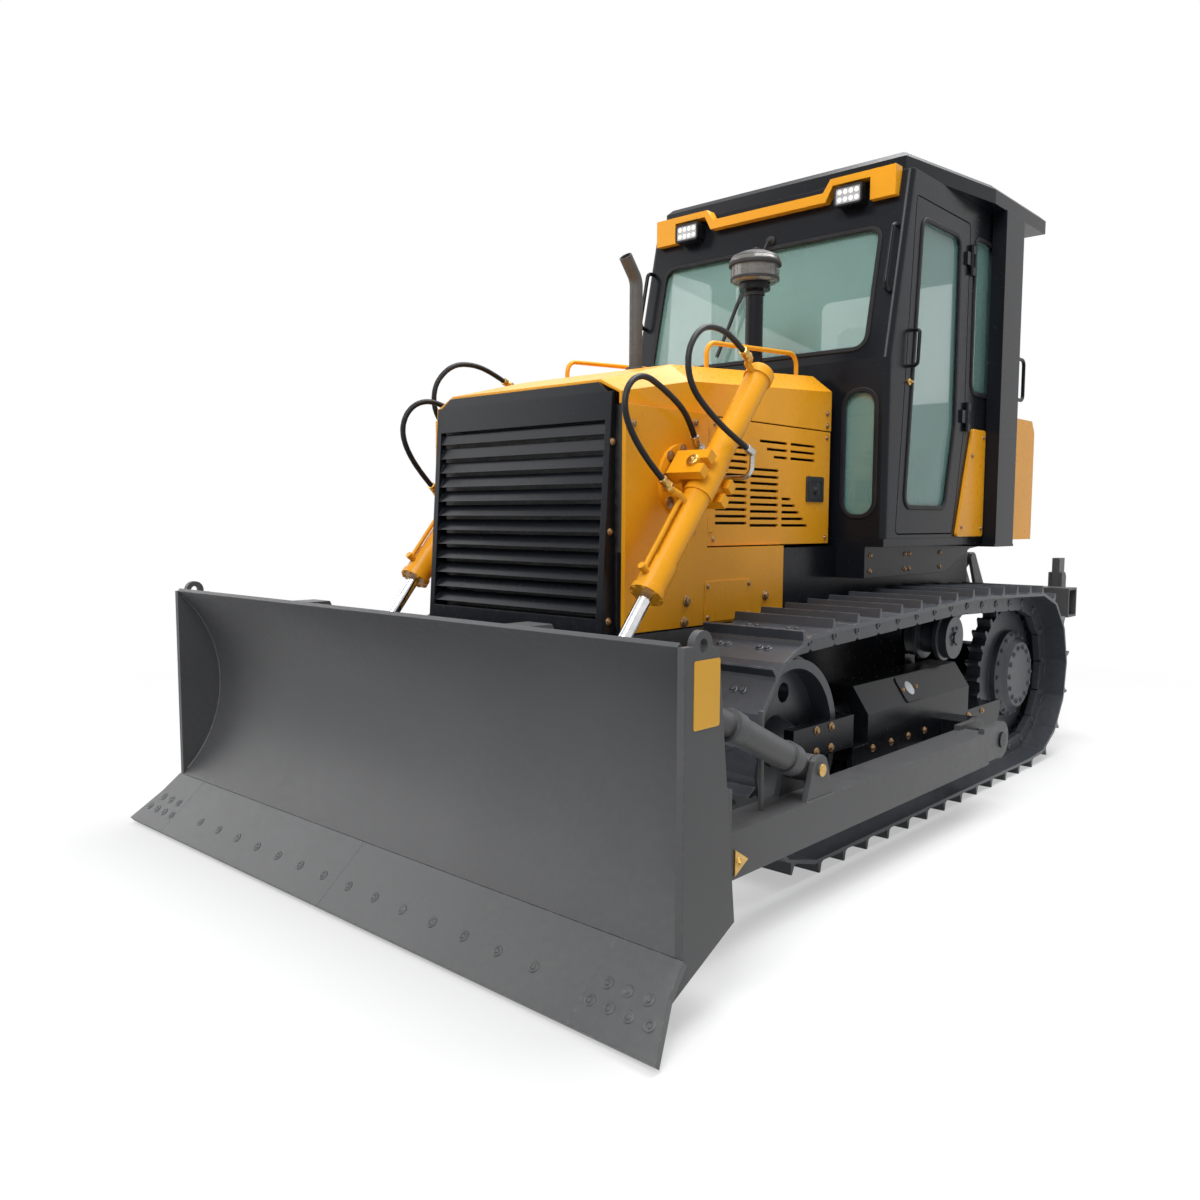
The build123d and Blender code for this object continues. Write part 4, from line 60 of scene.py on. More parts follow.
# Camera: where the photograph was taken from, in the model's frame
PHOTO_SIZE = 1200.0
CAMERA_AT = Vector((3.138, -4.543, 1.426))
CAMERA_YAW = math.radians(42.262)
CAMERA_PITCH = math.radians(-4.549)
CAMERA_ROLL = math.radians(0.351)
FOCAL_PIXELS = 1006.76
SENSOR = 36.0
FAR_CLIP = 200.0


def make_camera():
    """The photograph's camera, from its place, angles and focal length."""
    cp, sp = math.cos(CAMERA_PITCH), math.sin(CAMERA_PITCH)
    ahead = Vector((-math.sin(CAMERA_YAW) * cp, math.cos(CAMERA_YAW) * cp, sp))
    level = Vector((math.cos(CAMERA_YAW), math.sin(CAMERA_YAW), 0.0))
    upright = level.cross(ahead)
    c, s = math.cos(CAMERA_ROLL), math.sin(CAMERA_ROLL)
    right = level * c + upright * s
    up = upright * c - level * s
    data = bpy.data.cameras.new("camera")
    data.sensor_width = SENSOR
    data.lens = SENSOR * FOCAL_PIXELS / PHOTO_SIZE
    data.clip_end = FAR_CLIP
    obj = bpy.data.objects.new("camera", data)
    scene.collection.objects.link(obj)
    rows = Matrix((right, up, -ahead)).transposed()
    obj.matrix_world = Matrix.Translation(CAMERA_AT) @ rows.to_4x4()
    scene.camera = obj


make_camera()


# Materials
MIX_A, MIX_B, MIX_RESULT = 6, 7, 2  # a mix node's sockets for colours


class Graph:
    """The node tree of a material or world, and short ways to fill it."""

    def __init__(self, owner):
        owner.use_nodes = True
        self.nodes = owner.node_tree.nodes
        self.link = owner.node_tree.links.new

    def add(self, kind, **values):
        """A node with some of its inputs or settings filled in."""
        node = self.nodes.new(kind)
        for key, value in values.items():
            if key in node.inputs:
                node.inputs[key].default_value = value
            else:
                setattr(node, key, value)
        return node

    def noise(self, scale, detail=4.0, roughness=0.55):
        """A noise texture on the object's own coordinates."""
        node = self.add("ShaderNodeTexNoise", Scale=scale, Detail=detail, Roughness=roughness)
        self.link(self.coords, node.inputs["Vector"])
        return node.outputs["Fac"]

    def ramp(self, source, low, high, a, b):
        """A number stretched from the span low..high to a..b."""
        span = {"From Min": low, "From Max": high, "To Min": a, "To Max": b}
        node = self.add("ShaderNodeMapRange", **span)
        self.link(source, node.inputs["Value"])
        return node.outputs["Result"]

    def combined(self, operation, a, b):
        """Two numbers through one maths operation."""
        node = self.add("ShaderNodeMath", operation=operation)
        self.link(a, node.inputs[0])
        self.link(b, node.inputs[1])
        return node.outputs[0]

    def mix(self, factor, a, b):
        """A colour between a and b; each is a colour or an output."""
        node = self.add("ShaderNodeMix", data_type="RGBA")
        self.link(factor, node.inputs["Factor"])
        for value, socket in ((a, node.inputs[MIX_A]), (b, node.inputs[MIX_B])):
            if isinstance(value, tuple):
                socket.default_value = (*value, 1.0)
            else:
                self.link(value, socket)
        return node.outputs[MIX_RESULT]

    def relief(self, shader, height, strength, distance, normal=None):
        """Fine relief on a shader, over rounded edges where there are any."""
        node = self.add("ShaderNodeBump", Strength=strength, Distance=distance)
        self.link(height, node.inputs["Height"])
        if normal is not None:
            self.link(normal, node.inputs["Normal"])
        self.link(node.outputs["Normal"], shader.inputs["Normal"])

    def seen(self):
        """One for rays from the camera, in reflections and through glass."""
        path = self.add("ShaderNodeLightPath")
        total = path.outputs["Is Camera Ray"]
        for key in ("Is Glossy Ray", "Is Transmission Ray"):
            total = self.combined("MAXIMUM", total, path.outputs[key])
        return total


def new_material(name):
    """A node material, its graph and its Principled shader."""
    mat = bpy.data.materials.new(name)
    g = Graph(mat)
    g.coords = g.add("ShaderNodeTexCoord").outputs["Object"]
    return mat, g, g.nodes["Principled BSDF"]


EDGE_RADIUS = 0.004
DUST = (0.20, 0.185, 0.165)
DUST_HEIGHT = 1.2
# Grain of the noises, in features per metre
CLOUD_SCALE, FINE_SCALE, PEEL_SCALE = 1.7, 38.0, 420.0
STAIN_SCALE, MOTTLE_SCALE = 6.0, 9.0
SMEAR_SCALE, TINT_SCALE = 5.0, 1.3
RUBBED_FROM, RUBBED_TO = 0.985, 0.86  # dot product of rounded and flat normals


def paint(name, colour, rough, worn, wear=0.5, metallic=0.0, gloss=0.5, dust=0.25, peel=0.0004, shade=0.86):
    """Enamel over metal: cloudy tone, orange-peel bump, dusty lower parts, rounded and rubbed edges."""
    mat, g, shader = new_material(name)
    cloud = g.noise(CLOUD_SCALE, 5.0)
    fine = g.noise(FINE_SCALE, 4.0)
    deep = tuple(v * shade for v in colour)
    base = g.mix(g.ramp(cloud, 0.3, 0.7, 0.0, 1.0), deep, colour)
    place = g.add("ShaderNodeSeparateXYZ")
    g.link(g.coords, place.inputs[0])
    low = g.ramp(place.outputs["Z"], DUST_HEIGHT, 0.0, 0.0, dust)
    dusty = g.combined("MULTIPLY", low, g.ramp(fine, 0.42, 0.72, 0.0, 1.0))
    base = g.mix(dusty, base, DUST)
    bevel = g.add("ShaderNodeBevel", samples=4, Radius=EDGE_RADIUS)
    flat = g.add("ShaderNodeNewGeometry").outputs["Normal"]
    dot = g.add("ShaderNodeVectorMath", operation="DOT_PRODUCT")
    g.link(bevel.outputs["Normal"], dot.inputs[0])
    g.link(flat, dot.inputs[1])
    rim = g.ramp(dot.outputs["Value"], RUBBED_FROM, RUBBED_TO, 0.0, 1.0)
    rubbed = g.combined("MULTIPLY", rim, g.ramp(fine, 0.46, 0.66, 0.0, wear))
    base = g.mix(rubbed, base, worn)
    g.link(base, shader.inputs["Base Color"])
    satin = g.ramp(fine, 0.3, 0.75, rough * 0.85, min(1.0, rough * 1.2))
    g.link(satin, shader.inputs["Roughness"])
    shader.inputs["Metallic"].default_value = metallic
    shader.inputs["Specular IOR Level"].default_value = gloss
    g.relief(shader, g.noise(PEEL_SCALE, 2.0), 0.3, peel, bevel.outputs["Normal"])
    return mat


def metal(name, colour, rough, metallic, scratch=60.0, bump_height=0.0004, edge=0.003):
    """Bare, plated or oiled steel with fine streaks and stains."""
    mat, g, shader = new_material(name)
    stain = g.ramp(g.noise(STAIN_SCALE, 6.0, 0.65), 0.35, 0.68, 0.0, 1.0)
    streak = g.noise(scratch, 5.0, 0.7)
    dark = tuple(v * 0.65 for v in colour)
    g.link(g.mix(stain, dark, colour), shader.inputs["Base Color"])
    satin = g.ramp(streak, 0.3, 0.75, rough * 0.75, min(1.0, rough * 1.35))
    g.link(satin, shader.inputs["Roughness"])
    shader.inputs["Metallic"].default_value = metallic
    bevel = g.add("ShaderNodeBevel", samples=4, Radius=edge)
    g.relief(shader, streak, 0.5, bump_height, bevel.outputs["Normal"])
    return mat


def moulded(name, colour, rough, scale=260.0, height=0.0005, sheen=0.0, gloss=0.18):
    """Moulded plastic, rubber or vinyl with a fine grain."""
    mat, g, shader = new_material(name)
    grain = g.noise(scale, 3.0)
    cloud = g.ramp(g.noise(MOTTLE_SCALE, 4.0), 0.4, 0.75, 0.0, 1.0)
    pale = tuple(min(1.0, v * 1.4 + 0.003) for v in colour)
    g.link(g.mix(cloud, colour, pale), shader.inputs["Base Color"])
    satin = g.ramp(grain, 0.3, 0.7, rough * 0.85, min(1.0, rough * 1.15))
    g.link(satin, shader.inputs["Roughness"])
    shader.inputs["Specular IOR Level"].default_value = gloss
    shader.inputs["Sheen Weight"].default_value = sheen
    g.relief(shader, grain, 0.5, height)
    return mat


def see_through(name, tint, rough, alpha, haze):
    """Tinted glazing or clear plastic: partly see-through, with faint smears in its gloss."""
    mat, g, shader = new_material(name)
    smear = g.noise(SMEAR_SCALE, 5.0)
    g.link(g.ramp(smear, 0.4, 0.75, rough, rough + haze), shader.inputs["Roughness"])
    pale = tuple(min(1.0, v * 1.25 + 0.01) for v in tint)
    cloud = g.ramp(g.noise(TINT_SCALE, 3.0), 0.35, 0.7, 0.0, 1.0)
    g.link(g.mix(cloud, tint, pale), shader.inputs["Base Color"])
    shader.inputs["Alpha"].default_value = alpha
    shader.inputs["Specular IOR Level"].default_value = 1.0
    return mat


BARE = (0.20, 0.19, 0.18)
YELLOW = (0.80, 0.345, 0.012)
BLACK = (0.0085, 0.0095, 0.0125)
MATERIALS = {
    "yellow_paint": paint("yellow_paint", YELLOW, 0.30, (0.50, 0.27, 0.05), 0.3, gloss=0.22, dust=0.05,
                          peel=0.0001),
    "black_paint": paint("black_paint", BLACK, 0.24, (0.05, 0.05, 0.055), 0.4, gloss=0.15, dust=0.06,
                         peel=0.0001),
    "grey_paint": paint("grey_paint", (0.075, 0.076, 0.079), 0.42, BARE, 0.5, gloss=0.25, dust=0.10),
    "edge_steel": paint("edge_steel", (0.085, 0.087, 0.090), 0.40, (0.28, 0.28, 0.28), 0.7, gloss=0.3,
                        dust=0.12),
    "track_steel": paint("track_steel", (0.036, 0.041, 0.050), 0.36, (0.20, 0.20, 0.205), 0.8, dust=0.10),
    "engine_iron": metal("engine_iron", (0.085, 0.083, 0.082), 0.55, 0.3),
    "chrome_rod": metal("chrome_rod", (0.78, 0.78, 0.80), 0.09, 1.0, 200.0, 0.00003),
    "fitting_steel": metal("fitting_steel", (0.62, 0.60, 0.56), 0.28, 1.0, 140.0, 0.0001),
    "cab_glazing": see_through("cab_glazing", (0.22, 0.40, 0.36), 0.02, 0.38, 0.03),
    "clear_plastic": see_through("clear_plastic", (0.12, 0.115, 0.105), 0.14, 0.75, 0.10),
    "seat_cover": moulded("seat_cover", (0.020, 0.020, 0.022), 0.6, 300.0, 0.0008, sheen=0.15),
    "dark_plastic": moulded("dark_plastic", (0.028, 0.028, 0.030), 0.5),
    "hose_rubber": moulded("hose_rubber", (0.012, 0.012, 0.013), 0.42, 700.0, 0.0003),
    "lamp_lens": moulded("lamp_lens", (0.36, 0.37, 0.39), 0.10, 90.0, 0.0006),
}
# Looks that pieces of a slot may have besides the slot's own
ZINC_GOLD = metal("zinc_gold", (0.66, 0.42, 0.13), 0.30, 1.0, 120.0, 0.0002)
BOLT_STEEL = metal("bolt_steel", (0.36, 0.22, 0.11), 0.36, 0.9, 120.0, 0.0002)
LABEL_YELLOW = paint("label_yellow", (0.72, 0.36, 0.004), 0.38, (0.45, 0.25, 0.02), 0.3, dust=0.0)
LABEL_WHITE = paint("label_white", (0.70, 0.72, 0.74), 0.40, (0.4, 0.4, 0.4), 0.3, dust=0.1)
GASKET = moulded("gasket_rubber", (0.011, 0.011, 0.012), 0.5, 400.0, 0.0004)
LED_WHITE = moulded("led_white", (0.86, 0.87, 0.84), 0.12, 90.0, 0.0006)
RED_LENS = moulded("red_lens", (0.30, 0.030, 0.016), 0.16, 110.0, 0.0006)
WELD = paint("weld_bead", (0.070, 0.071, 0.074), 0.45, BARE, 0.8, dust=0.1)


def dress_nodes():
    """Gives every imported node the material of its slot."""
    for part in frame["record"]["subparts"]:
        obj = frame["nodes"][part["node"]]
        obj.data.materials.clear()
        obj.data.materials.append(MATERIALS[part["material_slot"]])


dress_nodes()


# Making pieces
SHARP_ANGLE = math.radians(38.0)


def make_object(name, bm, material):
    """A smooth object of a bmesh."""
    bmesh.ops.recalc_face_normals(bm, faces=bm.faces)
    mesh = bpy.data.meshes.new(name)
    bm.to_mesh(mesh)
    bm.free()
    mesh.shade_smooth()
    mesh.materials.append(material)
    obj = bpy.data.objects.new(name, mesh)
    scene.collection.objects.link(obj)
    return obj


def finish_piece(name, bm, slot, body, material=None):
    """Makes a piece of a bmesh, with sharp edges and its finish, riding on a body."""
    obj = make_object(name, bm, material or MATERIALS[slot])
    obj.data.set_sharp_from_angle(angle=SHARP_ANGLE)
    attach(obj, body)


def bridge(bm, rings, closed=True):
    """Faces between rings of vertices, and caps on the first and last where the form isn't closed."""
    pairs = list(zip(rings, rings[1:]))
    if closed:
        pairs.append((rings[-1], rings[0]))
    for a, b in pairs:
        for k in range(len(a)):
            j = (k + 1) % len(a)
            bm.faces.new((a[k], a[j], b[j], b[k]))
    if not closed:
        bm.faces.new(list(reversed(rings[0])))
        bm.faces.new(rings[-1])


def turned(bm, profile, at, axis, count=20, ring=False):
    """A turned form: profile is (along, radius) from its foot to its head, or all round a ring's section."""
    w = Vector(axis).normalized()
    u = w.orthogonal().normalized()
    v = w.cross(u)
    spokes = [u * a + v * b for a, b in round_section(1.0, count)]
    rings = [[bm.verts.new(Vector(at) + w * along + s * radius) for s in spokes] for along, radius in profile]
    bridge(bm, rings, closed=ring)


def bolt(bm, at, axis, size, tall=1.0):
    """A hexagon bolt head on a washer; size is the head's radius, tall a scale of its height."""
    high = size * tall
    washer = [(-0.2 * size, 1.5 * size), (0.18 * high, 1.5 * size), (0.26 * high, 1.38 * size)]
    turned(bm, washer, at, axis, 18)
    turned(bm, [(0.2 * high, size), (0.75 * high, size), (0.92 * high, 0.8 * size)], at, axis, 6)


def flush_bolt(bm, at, axis, size):
    """A countersunk plough bolt: a low disc with a ring round its middle."""
    profile = [(-0.2, 1.0), (0.06, 1.0), (0.12, 0.9), (0.12, 0.62), (0.02, 0.58), (0.02, 0.40), (0.14, 0.34)]
    turned(bm, [(a * size, r * size) for a, r in profile], at, axis, 20)


def rounded(width, height, radius, steps=5):
    """Points of a rounded rectangle about the origin."""
    points = []
    for cx, cy, start in ((1, 1, 0), (-1, 1, 90), (-1, -1, 180), (1, -1, 270)):
        for k in range(steps + 1):
            t = math.radians(start + 90.0 * k / steps)
            points.append((cx * (width / 2 - radius) + radius * math.cos(t),
                           cy * (height / 2 - radius) + radius * math.sin(t)))
    return points


def round_corners(points, radius, steps=4):
    """A closed outline of (u, v) points with its corners rounded."""
    result = []
    for k, here in enumerate(points):
        here = Vector(here)
        before, after = Vector(points[k - 1]), Vector(points[(k + 1) % len(points)])
        a, b = (before - here).normalized(), (after - here).normalized()
        half = math.acos(max(-1.0, min(1.0, a.dot(b)))) / 2
        reach = radius / math.tan(half)
        centre = here + (a + b).normalized() * (radius / math.sin(half))
        start, end = here + a * reach - centre, here + b * reach - centre
        sweep = start.angle_signed(end)
        for i in range(steps + 1):
            turn = Matrix.Rotation(-sweep * i / steps, 2)
            result.append(tuple(centre + turn @ start))
    return result


def panel(bm, outline, at, u, v, thickness, bevel=0.001):
    """A flat plate: a convex outline of (u, v) points, raised from its seat, with a bevelled rim."""
    at, u, v = Vector(at), Vector(u), Vector(v)
    n = u.cross(v).normalized()
    middle = Vector((sum(p[0] for p in outline), sum(p[1] for p in outline))) / len(outline)
    rings = []
    for rise, inset in ((-bevel, 0.0), (thickness - bevel, 0.0), (thickness, bevel)):
        points = [p + (middle - p).normalized() * inset for p in map(Vector, outline)]
        rings.append([bm.verts.new(at + u * p.x + v * p.y + n * rise) for p in points])
    bridge(bm, rings, closed=False)


def swept(bm, points, normal, section, closed=True):
    """A strip along points on a surface: section is (side, out) points square to the run, or a function of
    a point's number that returns them."""
    points = [Vector(p) for p in points]
    rings = []
    last = len(points) - 1
    for k, p in enumerate(points):
        before = points[k - 1] if closed or k else p
        after = points[(k + 1) % len(points)] if closed or k < last else p
        run = (after - before).normalized()
        side = Vector(normal).cross(run).normalized()
        out = run.cross(side)
        outline = section(k) if callable(section) else section
        rings.append([bm.verts.new(p + side * s + out * o) for s, o in outline])
    bridge(bm, rings, closed)


def round_section(radius, sides=10):
    """Points of a circle, such as a swept strip's round section."""
    turns = [2 * math.pi * k / sides for k in range(sides)]
    return [(radius * math.cos(t), radius * math.sin(t)) for t in turns]


def flat_section(half, low, high):
    """A flat section for a swept strip."""
    return [(-half, low), (-half, high), (half, high), (half, low)]


def ribs(bm, at, count, radius, rise, size, thickness, bevel):
    """Upright ribs round a vertical axis; size is their width, height and corner radius."""
    for a, b in round_section(1.0, count):
        spoke = Vector((a, b, 0.0))
        panel(bm, rounded(*size, 2), at + spoke * radius + UP * rise, UP.cross(spoke), UP, thickness, bevel)


def on_surface(node, start, toward):
    """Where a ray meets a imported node."""
    hit, place, _, _ = frame["nodes"][node].ray_cast(Vector(start), Vector(toward).normalized())
    if not hit:
        raise ValueError(f"no surface of {node} from {tuple(start)}")
    return place


OUTSIDE_X = 1.6  # rays towards a side start this far out


def side_bolt(bm, node, sign, y, z, size, tall=1.0):
    """A bolt on a node's outer side."""
    place = on_surface(node, (OUTSIDE_X * sign, y, z), (-sign, 0, 0))
    bolt(bm, place, LEFT * sign, size, tall)


# Hydraulic hoses: routes of the left cylinder's, from the barrel's end to the nose's, in metres
HOSE_DIAMETER = 0.025
HOSE_SIDES = 14
LOWER_HOSE = [(0.706, -1.499, 1.571), (0.697, -1.578, 1.636), (0.686, -1.666, 1.735), (0.676, -1.705, 1.822),
              (0.667, -1.691, 1.901), (0.659, -1.635, 1.958), (0.650, -1.552, 1.976), (0.641, -1.447, 1.944),
              (0.631, -1.310, 1.883), (0.619, -1.237, 1.830), (0.610, -1.190, 1.772)]
UPPER_HOSE = [(0.728, -1.007, 2.118), (0.736, -1.085, 2.156), (0.744, -1.200, 2.190), (0.752, -1.335, 2.180),
              (0.762, -1.430, 2.095), (0.769, -1.450, 2.002), (0.777, -1.421, 1.922), (0.785, -1.349, 1.860),
              (0.793, -1.270, 1.807), (0.802, -1.187, 1.760), (0.810, -1.108, 1.722)]
# Columns: node's first word, route, length
HOSES = (("hose_lower", LOWER_HOSE, 0.993), ("hose_upper", UPPER_HOSE, 1.012))
# Crimped sleeve and nut at a hose's barrel end; profiles, here and below, are for turned()
FERRULE = [(-0.024, 0.0145), (-0.022, 0.0185), (-0.006, 0.0185), (-0.004, 0.0170), (0.000, 0.0170),
           (0.002, 0.0185), (0.016, 0.0185), (0.018, 0.0150)]
FERRULE_NUT = [(0.018, 0.0150), (0.019, 0.0215), (0.032, 0.0215), (0.034, 0.0180)]
RIB_EVERY = 6  # rings of the tube between two wrap marks
RIB_SLIM = 0.96  # the tube's radius at a wrap mark, as a share
ROUTE_STEPS = 12  # points of the line for each point of its route


def spline_points(route):
    """Points along the smooth NURBS line of a route."""
    curve = bpy.data.curves.new("route", "CURVE")
    curve.dimensions = "3D"
    curve.resolution_u = ROUTE_STEPS
    spline = curve.splines.new("NURBS")
    spline.points.add(len(route) - 1)
    for point, place in zip(spline.points, route):
        point.co = (*place, 1.0)
    spline.order_u = 3
    spline.use_endpoint_u = True
    obj = bpy.data.objects.new("route", curve)
    scene.collection.objects.link(obj)
    line = bpy.data.meshes.new_from_object(obj.evaluated_get(bpy.context.evaluated_depsgraph_get()))
    points = [v.co.copy() for v in line.vertices]
    bpy.data.objects.remove(obj)
    bpy.data.curves.remove(curve)
    bpy.data.meshes.remove(line)
    return points


def make_hose(name, route, sign, side):
    """One rubber hose from a lift barrel to the nose."""
    points = spline_points([(x * sign, y, z) for x, y, z in route])
    bm = bmesh.new()
    across = LEFT.copy()
    rings = []
    for k, p in enumerate(points):
        run = (points[min(k + 1, len(points) - 1)] - points[max(k - 1, 0)]).normalized()
        across = (across - run * across.dot(run)).normalized()
        other = run.cross(across)
        radius = HOSE_DIAMETER / 2 * (RIB_SLIM if k % RIB_EVERY == RIB_EVERY // 2 else 1.0)
        section = round_section(radius, HOSE_SIDES)
        rings.append([bm.verts.new(p + across * a + other * b) for a, b in section])
    bridge(bm, rings, closed=False)
    node = f"{name}_{side}"
    obj = make_object(node + "_rubber", bm, MATERIALS["hose_rubber"])
    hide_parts(node)
    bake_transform(obj)
    bm = bmesh.new()
    along = (points[0] - points[2]).normalized()
    turned(bm, FERRULE, points[0], along, 20)
    turned(bm, FERRULE_NUT, points[0], along, 6)
    finish_piece(f"{name}_ferrule_{side}", bm, "fitting_steel", "lift_barrel_" + side, ZINC_GOLD)


def make_hoses():
    """The lower and upper hose of both lift cylinders."""
    for name, route, length in HOSES:
        for side, sign in SIDES:
            make_hose(name, route, sign, side)


make_hoses()


# Seat: cushions swollen by pressure
PAD_VOXEL = 0.009
PAD_INSET = 0.014  # how much smaller the slack cover starts
PAD_CAP = 0.013  # the most that a point of it swells
PAD_FRAMES = 16
PAD_PRESSURE = 4.0
CHANNEL_DEPTH = 0.006
CHANNEL_HALF = 0.010


def swell(obj):
    """Blows a slack cover up by cloth pressure, and keeps the result."""
    cloth = obj.modifiers.new("cloth", "CLOTH")
    cloth.settings.use_pressure = True
    cloth.settings.uniform_pressure_force = PAD_PRESSURE
    cloth.settings.effector_weights.gravity = 0.0
    for k in range(1, PAD_FRAMES + 1):
        scene.frame_set(k)
    swollen = bpy.data.meshes.new_from_object(obj.evaluated_get(bpy.context.evaluated_depsgraph_get()))
    moves = [s.co - v.co for s, v in zip(swollen.vertices, obj.data.vertices)]
    obj.modifiers.clear()
    scene.frame_set(1)
    for v, move in zip(obj.data.vertices, moves):
        v.co += move * min(1.0, PAD_CAP / max(move.length, 1e-6))
    bpy.data.meshes.remove(swollen)


def make_pad(node, channel_axis, channels):
    """A seat pad with sewn channels across channel_axis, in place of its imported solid."""
    source = frame["nodes"][node].data.copy()
    obj = bpy.data.objects.new(node + "_pad", source)
    scene.collection.objects.link(obj)
    low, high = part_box(node)
    middle, half = (low + high) / 2, (high - low) / 2
    for v in obj.data.vertices:
        v.co = Vector(m + (c - m) * (1 - PAD_INSET / h) for c, m, h in zip(v.co, middle, half))
    remesh = obj.modifiers.new("remesh", "REMESH")
    remesh.mode = "VOXEL"
    remesh.voxel_size = PAD_VOXEL
    mesh = bpy.data.meshes.new_from_object(obj.evaluated_get(bpy.context.evaluated_depsgraph_get()))
    obj.modifiers.clear()
    obj.data = mesh
    swell(obj)
    span = (high - low)[channel_axis]
    seams = [low[channel_axis] + span * (k + 1) / (channels + 1) for k in range(channels)]
    for v in mesh.vertices:
        near = min(abs(v.co[channel_axis] - s) for s in seams)
        sunk = CHANNEL_DEPTH * math.exp(-(near / CHANNEL_HALF) ** 2)
        v.co -= v.normal * sunk
    mesh.materials.clear()
    mesh.materials.append(MATERIALS["seat_cover"])
    mesh.shade_smooth()
    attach(obj, "chassis")
    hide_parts(node)


make_pad("seat_cushion", channel_axis=1, channels=3)
make_pad("seat_back", channel_axis=2, channels=4)


# Blade
EDGE_FOOT = Vector((0.0, -2.395, 0.215))
EDGE_DOWN = Vector((0.0, -0.747, -0.665))
EDGE_OUT = Vector((0.0, -0.665, 0.747))
EDGE_BOLT = 0.019
MIDDLE_PITCH = 0.161
MIDDLE_PAIRS = 7
MIDDLE_DOWN = 0.174
# End bit bolts. Columns: distance down the edge, places across
END_ROWS = ((0.134, (1.315, 1.390, 1.465)), (0.196, (1.290, 1.362, 1.434, 1.506)))
PLATE_SIZE = (0.121, 0.194)
PLATE_AT = (-2.297, 0.946)
PLATE_CORNER, PLATE_THICK, PLATE_BEVEL = 0.008, 0.0016, 0.0005
END_PLATE_X = 1.500
RAY = 0.3  # how far outside a surface a probing ray starts


def on_edge(x, down):
    """A point on the cutting edge's front face."""
    start = EDGE_FOOT + EDGE_DOWN * down + EDGE_OUT * RAY + LEFT * x
    return on_surface("cutting_edges", start, -EDGE_OUT)


def make_blade_pieces():
    """Plough bolts on the cutting edge, and a blank plate on each end plate."""
    bm = bmesh.new()
    places = [(MIDDLE_PITCH * (k + 0.5), MIDDLE_DOWN) for k in range(MIDDLE_PAIRS)]
    places += [(x, down) for down, row in END_ROWS for x in row]
    for x, down in places:
        for _, sign in SIDES:
            flush_bolt(bm, on_edge(x * sign, down), EDGE_OUT, EDGE_BOLT)
    finish_piece("edge_bolts", bm, "edge_steel", "blade")
    bm = bmesh.new()
    for _, sign in SIDES:
        at = Vector((END_PLATE_X * sign, *PLATE_AT))
        panel(bm, rounded(*PLATE_SIZE, PLATE_CORNER), at, BACK * sign, UP, PLATE_THICK, PLATE_BEVEL)
    finish_piece("blade_blank_plates", bm, "yellow_paint", "blade", LABEL_YELLOW)


# Curved face of the blade: top, deepest and bottom points (y, z)
FACE_TOP, FACE_DEEP, FACE_LOW = (-2.400, 1.083), (-2.200, 0.610), (-2.395, 0.215)
WELD_X = 1.475
WELD_RADIUS = 0.006
WELD_RIPPLE = 0.0012
WELD_STEP = 0.006
WELD_SIDES = 6
ARC_STEPS = 40
ARC_FREE, ARC_WELDED = 0.03, 0.94  # shares of the face's arc before the bead and along it


def circle_through(a, b, c):
    """Centre and radius of the circle through three points."""
    (ay, az), (by, bz), (cy, cz) = a, b, c
    d = 2 * (ay * (bz - cz) + by * (cz - az) + cy * (az - bz))
    a2, b2, c2 = ay * ay + az * az, by * by + bz * bz, cy * cy + cz * cz
    y = (a2 * (bz - cz) + b2 * (cz - az) + c2 * (az - bz)) / d
    z = (a2 * (cy - by) + b2 * (ay - cy) + c2 * (by - ay)) / d
    return (y, z), math.hypot(ay - y, az - z)


def weld(bm, points, normal, radius=WELD_RADIUS):
    """A rippled bead along points."""
    points = [Vector(p) for p in points]
    dense = []
    for a, b in zip(points, points[1:]):
        steps = max(1, round((b - a).length / WELD_STEP))
        dense += [a.lerp(b, k / steps) for k in range(steps)]
    dense.append(points[-1])

    def ripple(k):
        """The bead's section at a point."""
        return round_section(radius + WELD_RIPPLE * (k % 2), WELD_SIDES)

    swept(bm, dense, normal, ripple, closed=False)


def make_blade_welds():
    """Beads where the curved face meets the end plates."""
    (cy, cz), radius = circle_through(FACE_TOP, FACE_DEEP, FACE_LOW)
    start = math.atan2(FACE_TOP[1] - cz, FACE_TOP[0] - cy)
    end = math.atan2(FACE_LOW[1] - cz, FACE_LOW[0] - cy)
    turn = (end - start) % (2 * math.pi)
    if turn > math.pi:
        turn -= 2 * math.pi
    arc = [start + turn * (ARC_FREE + ARC_WELDED * k / ARC_STEPS) for k in range(ARC_STEPS + 1)]
    bm = bmesh.new()
    for _, sign in SIDES:
        weld(bm, [(WELD_X * sign, cy + radius * math.cos(t), cz + radius * math.sin(t)) for t in arc], LEFT)
    finish_piece("blade_welds", bm, "grey_paint", "blade", WELD)


make_blade_pieces()
make_blade_welds()


# Push arms and struts
ARM_OUTER_X = 1.300
STRUT_FOOT = (-1.305, 0.516)
STRUT_PIN_X = 1.303
GUSSET = [(-1.860, 0.352), (-1.784, 0.305), (-1.860, 0.262)]
GUSSET_THICK = 0.006
GUSSET_BOLT, GUSSET_BOLT_SIZE = (-1.838, 0.306), 0.011
ARM_TOP_Z = 0.410
LUG_HALF = 0.095  # half a lug's length along the arm
LUG_XS = (1.155, 1.295)
LUG_WELD = 0.005
STRUT_CAP = [(-0.002, 0.024), (0.003, 0.024), (0.005, 0.021), (0.005, 0.006), (0.0035, 0.004)]


